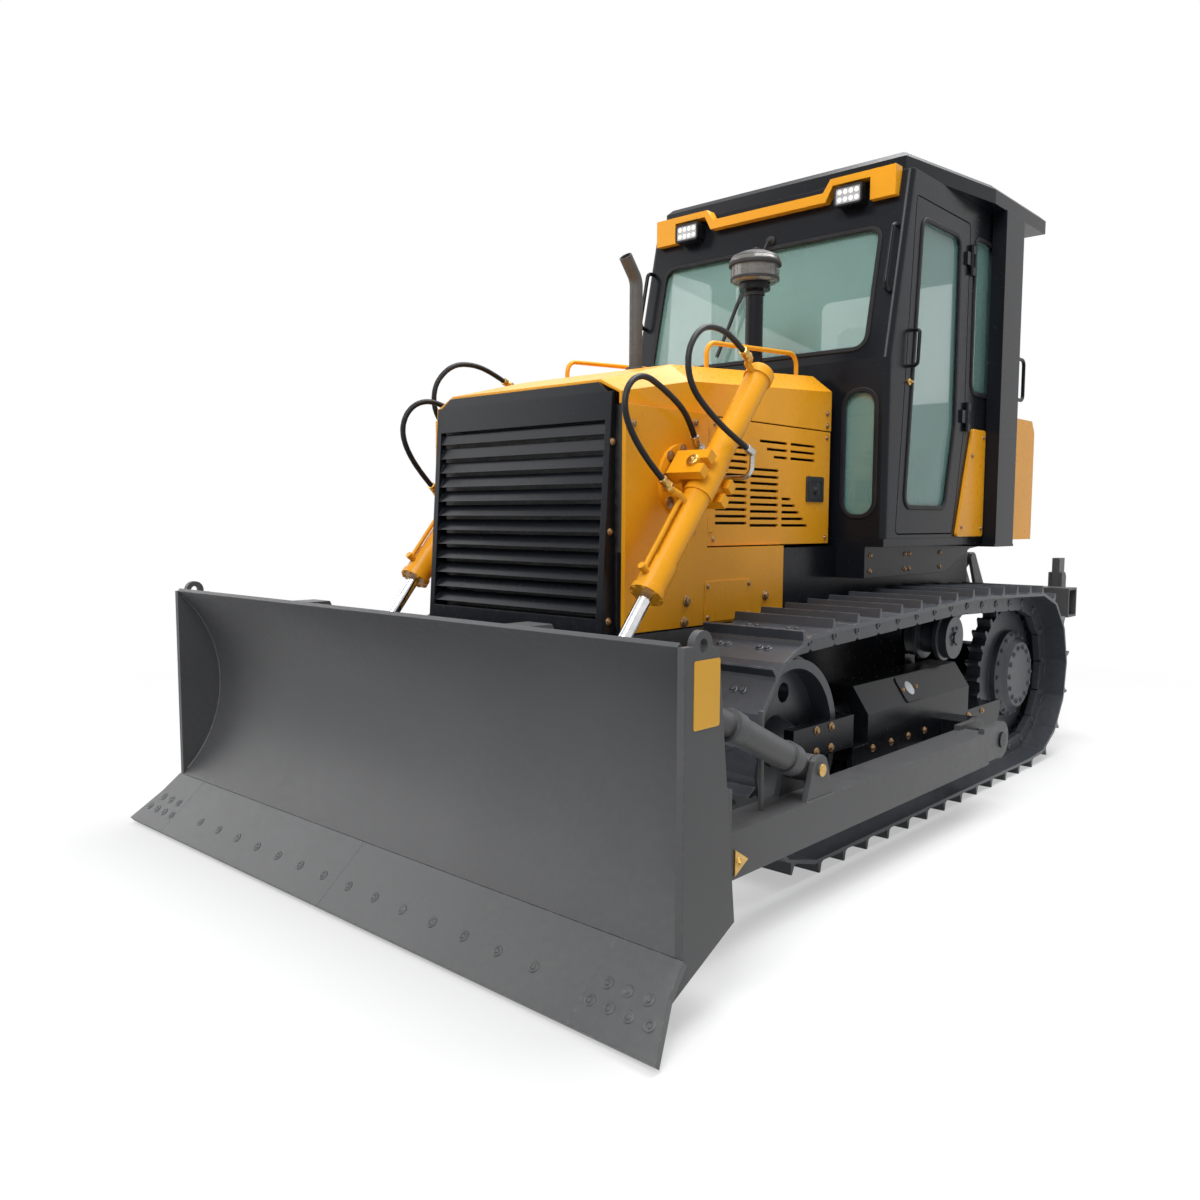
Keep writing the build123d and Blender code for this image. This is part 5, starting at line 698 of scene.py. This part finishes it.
def make_arm_pieces():
    """Plated pin caps and gussets, and the beads at the strut's lugs."""
    gold, beads = bmesh.new(), bmesh.new()
    for _, sign in SIDES:
        turned(gold, STRUT_CAP, Vector((STRUT_PIN_X * sign, *STRUT_FOOT)), LEFT * sign, 24)
        outline = [(y * sign, z) for y, z in GUSSET]
        panel(gold, outline, (ARM_OUTER_X * sign, 0, 0), BACK * sign, UP, GUSSET_THICK)
        seat = Vector(((ARM_OUTER_X + GUSSET_THICK) * sign, *GUSSET_BOLT))
        bolt(gold, seat, LEFT * sign, GUSSET_BOLT_SIZE)
        for x in LUG_XS:
            foot = [(x * sign, STRUT_FOOT[0] + LUG_HALF * way, ARM_TOP_Z) for way in (-1, 1)]
            weld(beads, foot, UP, LUG_WELD)
    finish_piece("arm_pin_caps", gold, "fitting_steel", "blade", ZINC_GOLD)
    finish_piece("arm_welds", beads, "grey_paint", "blade", WELD)


make_arm_pieces()


# Lift cylinders
CYLINDER_X = 0.713
TRUNNION = Vector((0.0, -1.246, 1.590))
LIFT_DOWN = Vector((0.0, -0.634, -0.773))
LIFT_OUT = Vector((0.0, -0.773, 0.634))
GLAND_FACE = 0.580
GLAND_BOLTS = 8
GLAND_BOLT_RING = 0.060
GLAND_BOLT = 0.007
YOKE_PIN_END = 0.118
YOKE_PIN = [(-0.004, 0.026), (0.004, 0.026), (0.006, 0.023), (0.006, 0.008), (0.012, 0.006), (0.014, 0.004)]


def make_cylinder_pieces():
    """Gland bolts and plated yoke pins on each lift barrel."""
    for side, sign in SIDES:
        body = "lift_barrel_" + side
        axis = TRUNNION + LEFT * (CYLINDER_X * sign)
        bm = bmesh.new()
        for k in range(GLAND_BOLTS):
            t = 2 * math.pi * (k + 0.5) / GLAND_BOLTS
            spoke = (LEFT * math.cos(t) + LIFT_OUT * math.sin(t)) * GLAND_BOLT_RING
            bolt(bm, axis + LIFT_DOWN * GLAND_FACE + spoke, LIFT_DOWN, GLAND_BOLT)
        finish_piece(f"gland_bolts_{side}", bm, "yellow_paint", body)
        bm = bmesh.new()
        for way in (1.0, -1.0):
            turned(bm, YOKE_PIN, axis + LIFT_OUT * (YOKE_PIN_END * way), LIFT_OUT * way, 24)
        finish_piece(f"yoke_pins_{side}", bm, "fitting_steel", body, ZINC_GOLD)


make_cylinder_pieces()


# Bolts on flat sides, the same on both. Columns: node (a door's without its side), y, z, size
FLANGE_RING = 0.124
FLANGE_TURNS = [math.radians(a) for a in (48, 90, 132, 180, 228, 270, 312)]
FLANGE_BOLTS = [(TRUNNION.y + FLANGE_RING * math.cos(t), TRUNNION.z + FLANGE_RING * math.sin(t))
                for t in FLANGE_TURNS]
SIDE_BOLTS = [("lift_brackets", y, z, 0.016) for y, z in FLANGE_BOLTS]
SIDE_BOLTS += [("nose_plates", y, z, size) for y, z, size in (
    (-1.191, 1.089, 0.016), (-1.205, 1.000, 0.016), (-0.594, 1.084, 0.016), (-0.594, 1.010, 0.012),
    (-1.142, 1.833, 0.011), (-1.151, 1.381, 0.011), (-1.540, 1.030, 0.011), (-1.540, 1.800, 0.011))]
SIDE_BOLTS += [("grille", y, z, 0.010) for y, z in ((-1.625, 1.031), (-1.618, 1.380), (-1.606, 1.728))]
SIDE_BOLTS += [("hood", -0.030, z, 0.010) for z in (1.900, 1.960)]
SIDE_BOLTS += [("cab_floor", y, z, 0.010) for y in (0.150, 0.540, 0.590, 0.980) for z in (1.175, 1.255)]
SIDE_BOLTS += [("side_covers", y, z, 0.009) for y, z in (
    (0.985, 1.400), (1.105, 1.800), (1.260, 1.390), (1.260, 1.910))]
SIDE_BOLTS += [("engine_door", y, z, 0.008) for y in (-0.030, -0.980) for z in (1.345, 1.840)]
LOW_HEAD = 0.4  # the yoke swings close over the flange's bolts


def make_side_bolts():
    """All bolts on flat sides: one piece for each body."""
    meshes = {}
    for node, y, z, size in SIDE_BOLTS:
        for side, sign in SIDES:
            on_door = node == "engine_door"
            name = f"{node}_{side}" if on_door else node
            body = name if on_door else "chassis"
            if body not in meshes:
                meshes[body] = bmesh.new()
            side_bolt(meshes[body], name, sign, y, z, size, LOW_HEAD if node == "lift_brackets" else 1.0)
    for body, bm in meshes.items():
        finish_piece(f"side_bolts_{body}", bm, "fitting_steel", body, BOLT_STEEL)


make_side_bolts()

# Nose: access covers and door latches
NOSE_X, DOOR_X = 0.580, 0.560
COVER_YS, COVER_ZS = (-1.065, -0.715), (0.990, 1.166)
COVER_CORNER, COVER_THICK = 0.010, 0.004
SCREW, SCREW_IN = 0.008, 0.02  # size, and distance from a cover's edges
# Latch: plate, rim and grip as width, height and corner radius
LATCH_AT, LATCH_THICK = (-0.138, 1.582), 0.005
LATCH_PLATE, LATCH_RIM, LATCH_GRIP = (0.165, 0.125, 0.010), (0.120, 0.085, 0.008), (0.014, 0.058, 0.005)
GRIP_FOOT, GRIP_THICK = 0.017, 0.006
LATCH_HUB = [(0.004, 0.021), (0.008, 0.021), (0.010, 0.018), (0.010, 0.012), (0.018, 0.010)]


def make_nose_pieces():
    """Screwed access covers on the nose plates and a latch on each engine door."""
    bm, screws = bmesh.new(), bmesh.new()
    width, height = COVER_YS[1] - COVER_YS[0], COVER_ZS[1] - COVER_ZS[0]
    middle = (sum(COVER_YS) / 2, sum(COVER_ZS) / 2)
    for side, sign in SIDES:
        seat = (NOSE_X * sign, *middle)
        panel(bm, rounded(width, height, COVER_CORNER), seat, BACK * sign, UP, COVER_THICK)
        for dy in (-1, 1):
            for dz in (-1, 1):
                y = middle[0] + dy * (width / 2 - SCREW_IN)
                z = middle[1] + dz * (height / 2 - SCREW_IN)
                bolt(screws, ((NOSE_X + COVER_THICK) * sign, y, z), LEFT * sign, SCREW)
        latch = bmesh.new()
        base = Vector((DOOR_X * sign, *LATCH_AT))
        panel(latch, rounded(*LATCH_PLATE), base, BACK * sign, UP, LATCH_THICK)
        rim = [base + BACK * a + UP * b + LEFT * (LATCH_THICK * sign) for a, b in rounded(*LATCH_RIM)]
        swept(latch, rim, LEFT * sign, flat_section(0.004, -0.001, 0.004))
        turned(latch, LATCH_HUB, base, LEFT * sign, 20)
        panel(latch, rounded(*LATCH_GRIP), base + LEFT * (GRIP_FOOT * sign), BACK * sign, UP, GRIP_THICK)
        finish_piece(f"engine_door_latch_{side}", latch, "dark_plastic", f"engine_door_{side}")
    finish_piece("access_covers", bm, "yellow_paint", "chassis")
    finish_piece("access_screws", screws, "fitting_steel", "chassis", BOLT_STEEL)


make_nose_pieces()

# Exhaust and air intake
ABOVE = 3.0  # rays down on the machine start at this height
EXHAUST_AT, EXHAUST_BESIDE = (-0.110, -0.720), 0.055
INTAKE_AT, INTAKE_TOP = (0.330, -0.350), 2.575
STACK_FLANGE = [(-0.004, 0.046), (-0.004, 0.074), (0.006, 0.074), (0.010, 0.070), (0.010, 0.052),
                (0.016, 0.0485), (0.016, 0.046)]
BOWL_BAND = [(0.010, 0.112), (0.010, 0.118), (0.022, 0.118), (0.022, 0.112)]
BOWL_RIM = [(0.078, 0.113), (0.078, 0.126), (0.086, 0.128), (0.094, 0.126), (0.098, 0.113)]
PIPE_CLAMP = [(-0.060, 0.042), (-0.060, 0.049), (-0.046, 0.049), (-0.046, 0.042)]
WING_NUT = [(-0.004, 0.010), (0.014, 0.010), (0.018, 0.007)]
WING, WING_THICK = (0.044, 0.012, 0.005), 0.006
STACK_BOLT, STACK_BOLT_RING, STACK_BOLT_FOOT = 0.006, 0.062, 0.009
STACK_BOLT_ANGLES = (45, 135, 225, 315)
BOWL_RIBS = {"count": 24, "radius": 0.1135, "rise": 0.050, "size": (0.005, 0.052, 0.002),
             "thickness": 0.002, "bevel": 0.0006}
CAP_RADII = (0.116, 0.108, 0.098, 0.085, 0.068, 0.048, 0.026, 0.012)
CAP_OVER = 0.002


def make_stack_pieces():
    """A bolted flange on the exhaust's foot; bands, cap, wing nut and ribs on the intake's bowl."""
    bm = bmesh.new()
    hood_top = on_surface("hood", (EXHAUST_AT[0] + EXHAUST_BESIDE, EXHAUST_AT[1], ABOVE), -UP)
    foot = Vector((*EXHAUST_AT, hood_top.z))
    turned(bm, STACK_FLANGE, foot, UP, 32, ring=True)
    for angle in STACK_BOLT_ANGLES:
        t = math.radians(angle)
        spoke = Vector((STACK_BOLT_RING * math.cos(t), STACK_BOLT_RING * math.sin(t), STACK_BOLT_FOOT))
        bolt(bm, foot + spoke, UP, STACK_BOLT)
    finish_piece("exhaust_flange", bm, "engine_iron", "chassis")
    bm = bmesh.new()
    top = Vector((*INTAKE_AT, INTAKE_TOP))
    turned(bm, BOWL_BAND, top, UP, 48, ring=True)
    turned(bm, BOWL_RIM, top, UP, 48, ring=True)
    dome = [(on_surface("precleaner", top + LEFT * r + UP, -UP).z - top.z + CAP_OVER, r) for r in CAP_RADII]
    turned(bm, [(dome[0][0] - 2 * CAP_OVER, CAP_RADII[0]), *dome], top, UP, 48)
    knob = Vector((top.x, top.y, top.z + dome[-1][0]))
    turned(bm, WING_NUT, knob, UP, 12)
    panel(bm, rounded(*WING), knob + UP * 0.009 + BACK * (WING_THICK / 2), LEFT, UP, WING_THICK)
    turned(bm, PIPE_CLAMP, top, UP, 36, ring=True)
    finish_piece("precleaner_cap", bm, "dark_plastic", "chassis")
    bm = bmesh.new()
    ribs(bm, top, **BOWL_RIBS)
    finish_piece("precleaner_ribs", bm, "clear_plastic", "chassis")


make_stack_pieces()

# Cab
CAB_SIDE_X, CAB_FRONT_Y, CAB_REAR_Y, CAB_TOP = 0.820, 0.090, 1.800, 3.180
BREAK_Z, LEAN = 2.230, 0.212
SEAL = [(-0.012, -0.002), (-0.012, 0.004), (-0.008, 0.0075), (0.008, 0.0075), (0.012, 0.004), (0.012, -0.002)]
# Front windows. Columns: x span, z span, corner radius
FRONT_WINDOWS = (((-0.690, 0.690), (2.285, 2.905), 0.070), ((0.585, 0.765), (1.450, 2.080), 0.080),
                 ((-0.765, -0.585), (1.450, 2.080), 0.080))
REAR_WINDOW = ((-0.560, 0.560), (2.180, 2.950), 0.070)
DOOR_WINDOW = [(0.300, 1.500), (0.790, 1.500), (0.890, 1.960), (0.890, 2.960), (0.420, 2.960)]
QUARTER_WINDOW = [(1.090, 2.150), (1.380, 2.150), (1.380, 3.000), (1.090, 3.000)]
SIDE_CORNER = 0.060


def cab_front_y(z):
    """Outer face of the front wall at a height."""
    return CAB_FRONT_Y + LEAN * max(0.0, z - BREAK_Z) / (CAB_TOP - BREAK_Z)


def window_loop(xs, zs, radius):
    """Outline of a front or rear window as (x, z) points."""
    middle = ((xs[0] + xs[1]) / 2, (zs[0] + zs[1]) / 2)
    return [(middle[0] + a, middle[1] + b) for a, b in rounded(xs[1] - xs[0], zs[1] - zs[0], radius, 8)]


def side_seal(bm, window, sign):
    """A seal round a window in the cab's side."""
    loop = round_corners(window, SIDE_CORNER, 6)
    swept(bm, [(CAB_SIDE_X * sign, y, z) for y, z in loop], LEFT * sign, SEAL)


def make_seals():
    """Rubber seals round all windows."""
    bm = bmesh.new()
    lean = Vector((0.0, -(CAB_TOP - BREAK_Z), LEAN)).normalized()
    for xs, zs, radius in FRONT_WINDOWS:
        normal = lean if zs[0] > BREAK_Z else FORWARD
        swept(bm, [(x, cab_front_y(z), z) for x, z in window_loop(xs, zs, radius)], normal, SEAL)
    swept(bm, [(x, CAB_REAR_Y, z) for x, z in window_loop(*REAR_WINDOW)], BACK, SEAL)
    for _, sign in SIDES:
        side_seal(bm, QUARTER_WINDOW, sign)
    finish_piece("window_seals", bm, "hose_rubber", "chassis", GASKET)
    for side, sign in SIDES:
        bm = bmesh.new()
        side_seal(bm, DOOR_WINDOW, sign)
        finish_piece(f"door_seal_{side}", bm, "hose_rubber", f"cab_door_{side}", GASKET)


# Wiper: pivot, arm's end and blade's ends as (x, z) on the windshield
WIPER_PIVOT, WIPER_ELBOW = (0.030, 2.950), (-0.100, 2.620)
WIPER_BLADE = ((-0.045, 2.850), (-0.205, 2.330))
# Distances off the glass: rubber lip, blade's back, arm at its pivot and at its end
LIP_OFF, BLADE_OFF, ARM_OFF, ELBOW_OFF = 0.022, 0.028, 0.026, 0.034
WIPER_BOSS = [(-0.004, 0.026), (0.008, 0.026), (0.014, 0.020), (0.030, 0.014), (0.034, 0.010)]


def make_wiper():
    """Wiper on the header: boss, sprung arm and rubber blade."""
    def off_glass(place, out):
        """A point before the windshield."""
        x, z = place
        return Vector((x, cab_front_y(z) - out, z))

    bm = bmesh.new()
    turned(bm, WIPER_BOSS, off_glass(WIPER_PIVOT, 0.0), FORWARD, 20)
    bar, lip = flat_section(0.007, -0.004, 0.004), flat_section(0.003, -0.010, 0.0)
    arm = [off_glass(WIPER_PIVOT, ARM_OFF), off_glass(WIPER_ELBOW, ELBOW_OFF)]
    swept(bm, arm, FORWARD, bar, closed=False)
    swept(bm, [off_glass(p, BLADE_OFF) for p in WIPER_BLADE], FORWARD, bar, closed=False)
    swept(bm, [off_glass(p, LIP_OFF) for p in WIPER_BLADE], FORWARD, lip, closed=False)
    finish_piece("wiper", bm, "dark_plastic", "chassis")


LAMP_X, LAMP_Z, LAMP_FACE_Y = 0.515, 3.085, 0.200
LAMP_CELLS = ((-0.048, -0.016, 0.016, 0.048), (-0.019, 0.019))
CELL_SINK, RIM_OUT = 0.002, 0.001  # how far cells lie behind the lamp's face, and rims before the cells
LAMP_CELL = [(-0.001, 0.0135), (0.0006, 0.0135), (0.0016, 0.010), (0.002, 0.004)]
LOCK_AT, KEY_X = (0.318, 2.130), 0.838
LOCK = [(-0.002, 0.017), (0.006, 0.017), (0.009, 0.013), (0.012, 0.006), (0.022, 0.005)]
TAIL_AT, TAIL_DEEP = (0.870, 1.570, 2.940), 0.012
# Width, height and corner radius
LAMP_RIM, LOCK_KEY = (0.146, 0.086, 0.013), (0.030, 0.008, 0.003)
TAIL_BASE, TAIL_LENS = (0.062, 0.124, 0.008), (0.050, 0.110, 0.008)


def make_cab_fittings():
    """Lamp cells, door locks and tail lamps."""
    bm, rims = bmesh.new(), bmesh.new()
    for _, sign in SIDES:
        face = Vector((LAMP_X * sign, LAMP_FACE_Y + CELL_SINK, LAMP_Z))
        for dx in LAMP_CELLS[0]:
            for dz in LAMP_CELLS[1]:
                turned(bm, LAMP_CELL, face + LEFT * dx + UP * dz, FORWARD, 16)
        edge = [face + LEFT * a + UP * b + FORWARD * RIM_OUT for a, b in rounded(*LAMP_RIM)]
        swept(rims, edge, FORWARD, flat_section(0.004, -0.002, 0.0025))
    finish_piece("lamp_cells", bm, "lamp_lens", "chassis", LED_WHITE)
    finish_piece("lamp_rims", rims, "dark_plastic", "chassis")
    for side, sign in SIDES:
        bm = bmesh.new()
        turned(bm, LOCK, (CAB_SIDE_X * sign, *LOCK_AT), LEFT * sign, 20)
        panel(bm, rounded(*LOCK_KEY), (KEY_X * sign, *LOCK_AT), BACK * sign, UP, 0.003, 0.0005)
        finish_piece(f"door_lock_{side}", bm, "fitting_steel", f"cab_door_{side}", ZINC_GOLD)
    bm, bases = bmesh.new(), bmesh.new()
    for _, sign in SIDES:
        x, y, z = TAIL_AT
        panel(bases, rounded(*TAIL_BASE), (x * sign, y, z), -LEFT, UP, TAIL_DEEP, 0.002)
        panel(bm, rounded(*TAIL_LENS), (x * sign, y + TAIL_DEEP, z), -LEFT, UP, TAIL_DEEP, 0.004)
    finish_piece("tail_lamps", bm, "lamp_lens", "chassis", RED_LENS)
    finish_piece("tail_lamp_bases", bases, "dark_plastic", "chassis")


make_seals()
make_wiper()
make_cab_fittings()

# Inside the cab
GAUGE_XS, GAUGE_Z, GAUGE_RAY_Y = (-0.20, -0.10, 0.0, 0.10, 0.20), 2.02, 1.0
GAUGE = [(-0.002, 0.036), (0.008, 0.036), (0.010, 0.033), (0.010, 0.030), (0.006, 0.029)]
GAUGE_FACE = [(0.0062, 0.028), (0.0068, 0.028), (0.0068, 0.010), (0.008, 0.004)]
PEDAL_XS, PEDAL_AT, PEDAL_UP = (-0.16, 0.16), (0.420, 1.465), Vector((0, -0.5, 0.86))
PEDAL, PEDAL_THICK, PEDAL_BEVEL = (0.09, 0.13, 0.01), 0.012, 0.002
PEDAL_ROD, PEDAL_ROD_RADIUS = ((0.425, 1.462), (0.330, 1.420)), 0.010


def make_inside():
    """Gauges on the dashboard and two pedals."""
    bm, faces = bmesh.new(), bmesh.new()
    for x in GAUGE_XS:
        at = on_surface("console", (x, GAUGE_RAY_Y, GAUGE_Z), FORWARD)
        turned(bm, GAUGE, at, BACK, 24)
        turned(faces, GAUGE_FACE, at, BACK, 24)
    for x in PEDAL_XS:
        panel(bm, rounded(*PEDAL), (x, *PEDAL_AT), LEFT, PEDAL_UP, PEDAL_THICK, PEDAL_BEVEL)
        swept(bm, [(x, *place) for place in PEDAL_ROD], UP, round_section(PEDAL_ROD_RADIUS, 8), closed=False)
    finish_piece("dash_gauges", bm, "dark_plastic", "chassis")
    finish_piece("gauge_faces", faces, "lamp_lens", "chassis", LABEL_WHITE)


make_inside()

# Tracks
TRACK_X = 0.876
# The belt's circles of the pin line. Columns: y, z, radius
BELT = ((-1.000, 0.515, 0.410), (1.510, 0.530, 0.425), (0.580, 0.830, 0.155))
SHOE_COUNT = 38
SHOE_BOLT = 0.012
SHOE_BOLT_XS = (-0.115, -0.075, 0.075, 0.115)
SHOE_BOLT_SHARE = 0.52  # along the shoe, from pin to pin
SHOE_RAY = 0.15  # rays towards a shoe start this far outside the pin line
LINK_CAP = [(-0.003, 0.021), (0.003, 0.021), (0.005, 0.018), (0.005, 0.010), (0.002, 0.008)]
RAIL_FACES = (-0.115, 0.115)


def belt_normal(a, b):
    """Outward direction of the straight run from circle a to circle b."""
    dy, dz = b[0] - a[0], b[1] - a[1]
    d = math.hypot(dy, dz)
    c = (a[2] - b[2]) / d
    s = math.sqrt(1 - c * c)
    return (dy * c + dz * s) / d, (dz * c - dy * s) / d


def belt_pins():
    """Evenly spaced pins round the belt, in order."""
    runs = []
    for i, a in enumerate(BELT):
        b, c = BELT[(i + 1) % len(BELT)], BELT[(i + 2) % len(BELT)]
        n1, n2 = belt_normal(a, b), belt_normal(b, c)
        start = (a[0] + a[2] * n1[0], a[1] + a[2] * n1[1])
        end = (b[0] + b[2] * n1[0], b[1] + b[2] * n1[1])
        runs.append(("line", math.dist(start, end), start, end))
        first, last = math.atan2(n1[1], n1[0]), math.atan2(n2[1], n2[0])
        runs.append(("arc", b[2] * ((last - first) % (2 * math.pi)), b, first))
    total = sum(run[1] for run in runs)
    pins = []
    for k in range(SHOE_COUNT):
        along = total * k / SHOE_COUNT
        for kind, length, p, q in runs:
            if along <= length:
                break
            along -= length
        if kind == "line":
            pins.append(Vector(p).lerp(Vector(q), along / length))
        else:
            t = q + along / p[2]
            pins.append(Vector((p[0] + p[2] * math.cos(t), p[1] + p[2] * math.sin(t))))
    return pins


def make_track_pieces():
    """Shoe bolts and link pins round both tracks."""
    pins = belt_pins()
    for side, sign in SIDES:
        bm, caps = bmesh.new(), bmesh.new()
        for k, pin in enumerate(pins):
            after = pins[(k + 1) % len(pins)]
            run = (after - pin).normalized()
            out = Vector((0.0, run.y, -run.x))
            spot = pin.lerp(after, SHOE_BOLT_SHARE)
            for dx in SHOE_BOLT_XS:
                start = Vector(((TRACK_X + dx) * sign, *spot)) + out * SHOE_RAY
                bolt(bm, on_surface("track_" + side, start, -out), out, SHOE_BOLT)
            for dx in RAIL_FACES:
                way = 1.0 if dx > 0 else -1.0
                turned(caps, LINK_CAP, ((TRACK_X + dx) * sign, *pin), LEFT * (way * sign), 14)
        finish_piece(f"shoe_bolts_{side}", bm, "track_steel", "chassis")
        finish_piece(f"link_pins_{side}", caps, "track_steel", "chassis")


# Rings of bolts on wheels. Columns: node, y, z, ring radius, bolts, bolt size
WHEEL_BOLTS = (("sprockets", 1.510, 0.530, 0.160, 14, 0.012), ("sprockets", 1.510, 0.530, 0.235, 18, 0.009),
               ("track_wheels", 0.580, 0.830, 0.045, 6, 0.009))
# Bolts on the roller frames. Columns: y, z, size
FRAME_BOLTS = [(y, z, 0.013) for y in (-0.890, -0.770) for z in (0.470, 0.560)]
FRAME_BOLTS += [(y, 0.400, 0.012) for y in (-0.370, -0.190, -0.010, 0.170, 0.710, 0.890)]
# Plate on the spring cover's sloping side: its place, and the way it faces
LABEL_AT, LABEL_TILT = (0.976, 0.060, 0.610), (0.832, 0.555)
LABEL_PLATE, LABEL_THICK = (0.18225, 0.135, 0.02), 0.006
LABEL_DISC = [(0.0055, 0.036), (0.007, 0.036), (0.0075, 0.034), (0.0075, 0.010)]
LABEL_BOLT, LABEL_BOLT_REACH = 0.009, 0.070


def make_gear_pieces():
    """Bolts on the wheels and roller frames, and a plate with a blank disc on each spring cover."""
    bm = bmesh.new()
    for node, y, z, ring, count, size in WHEEL_BOLTS:
        for dy, dz in round_section(ring, count):
            for _, sign in SIDES:
                side_bolt(bm, node, sign, y + dy, z + dz, size)
    finish_piece("wheel_bolts", bm, "track_steel", "chassis")
    bm = bmesh.new()
    for y, z, size in FRAME_BOLTS:
        for _, sign in SIDES:
            side_bolt(bm, "track_frames", sign, y, z, size)
    plates, discs = bmesh.new(), bmesh.new()
    for _, sign in SIDES:
        tilt = Vector((LABEL_TILT[0] * sign, 0.0, LABEL_TILT[1]))
        start = Vector((LABEL_AT[0] * sign, *LABEL_AT[1:])) + tilt * RAY
        seat = on_surface("track_frames", start, -tilt)
        up = tilt.cross(BACK * sign)
        panel(plates, rounded(*LABEL_PLATE), seat, BACK * sign, up, LABEL_THICK)
        turned(discs, LABEL_DISC, seat, tilt, 28)
        for way in (-1, 1):
            bolt(bm, seat + BACK * (LABEL_BOLT_REACH * way) + tilt * LABEL_THICK, tilt, LABEL_BOLT)
    finish_piece("frame_bolts", bm, "fitting_steel", "chassis", BOLT_STEEL)
    finish_piece("spring_plates", plates, "black_paint", "chassis")
    finish_piece("spring_labels", discs, "lamp_lens", "chassis", LABEL_WHITE)


make_track_pieces()
make_gear_pieces()

# Rear: the tank's filler cap
FILLER_AT = (-0.500, 1.950)
FILLER_CAP = [(-0.004, 0.060), (0.012, 0.060), (0.014, 0.050), (0.030, 0.050), (0.044, 0.047), (0.048, 0.040)]
FILLER_RIBS = {"count": 12, "radius": 0.049, "rise": 0.028, "size": (0.010, 0.020, 0.003),
               "thickness": 0.003, "bevel": 0.001}


def make_rear_pieces():
    """Ribbed filler cap on the tank."""
    bm = bmesh.new()
    at = on_surface("rear_tank", (*FILLER_AT, ABOVE), -UP)
    turned(bm, FILLER_CAP, at, UP, 32)
    ribs(bm, at, **FILLER_RIBS)
    finish_piece("tank_cap", bm, "dark_plastic", "chassis")


make_rear_pieces()

# Stage
FLOOR_HALF = 60.0
FLOOR_GREY = 0.72
FLOOR_ROUGH = 0.9
# The floor's fade into white: its span from the middle, and its share of white at the near end
FADE_NEAR, FADE_FAR, FADE_FROM = 2.6, 6.5, 0.45
# Lamps. Columns: name, place, target, size, power
LAMPS = (("key", (2.5, -7.5, 8.5), (0.0, 0.0, 1.0), 5.0, 800.0),
         ("fill", (-7.0, -5.0, 4.5), (0.0, -0.5, 1.2), 6.0, 220.0),
         ("top", (1.0, 2.0, 9.0), (0.0, 0.5, 1.0), 7.0, 1150.0))
WORLD_LIGHT, WORLD_COOL = 0.18, (0.93, 0.97, 1.0, 1.0)


def make_world():
    """White to the eye, in reflections and through glass; a softer, cooler light on the object."""
    world = bpy.data.worlds.new("studio")
    scene.world = world
    g = Graph(world)
    white = g.nodes["Background"]
    white.inputs["Color"].default_value = (1.0, 1.0, 1.0, 1.0)
    soft = g.add("ShaderNodeBackground")
    soft.inputs["Color"].default_value = WORLD_COOL
    soft.inputs["Strength"].default_value = WORLD_LIGHT
    mix = g.add("ShaderNodeMixShader")
    g.link(g.seen(), mix.inputs[0])
    g.link(soft.outputs[0], mix.inputs[1])
    g.link(white.outputs[0], mix.inputs[2])
    g.link(mix.outputs[0], g.nodes["World Output"].inputs["Surface"])


def make_floor():
    """Pale floor that holds the shadow near the machine and goes over into the white far from it."""
    bm = bmesh.new()
    bmesh.ops.create_grid(bm, x_segments=2, y_segments=2, size=FLOOR_HALF)
    mesh = bpy.data.meshes.new("floor")
    bm.to_mesh(mesh)
    bm.free()
    floor = bpy.data.objects.new("floor", mesh)
    scene.collection.objects.link(floor)
    mat, g, shader = new_material("floor")
    shader.inputs["Base Color"].default_value = (FLOOR_GREY, FLOOR_GREY, FLOOR_GREY, 1.0)
    shader.inputs["Roughness"].default_value = FLOOR_ROUGH
    reach = g.add("ShaderNodeVectorMath", operation="LENGTH")
    g.link(g.coords, reach.inputs[0])
    far = g.ramp(reach.outputs["Value"], FADE_NEAR, FADE_FAR, FADE_FROM, 1.0)
    white = g.add("ShaderNodeEmission", Strength=1.0)
    mix = g.add("ShaderNodeMixShader")
    g.link(g.combined("MULTIPLY", far, g.seen()), mix.inputs[0])
    g.link(shader.outputs[0], mix.inputs[1])
    g.link(white.outputs[0], mix.inputs[2])
    g.link(mix.outputs[0], g.nodes["Material Output"].inputs["Surface"])
    mesh.materials.append(mat)


def make_lamps():
    """Three soft area lamps."""
    for name, place, target, size, power in LAMPS:
        data = bpy.data.lights.new(name, "AREA")
        data.size = size
        data.energy = power
        obj = bpy.data.objects.new(name, data)
        obj.location = place
        obj.rotation_euler = (Vector(target) - Vector(place)).to_track_quat("-Z", "Y").to_euler()
        scene.collection.objects.link(obj)


make_world()
make_floor()
make_lamps()
scene.view_settings.view_transform = "Standard"
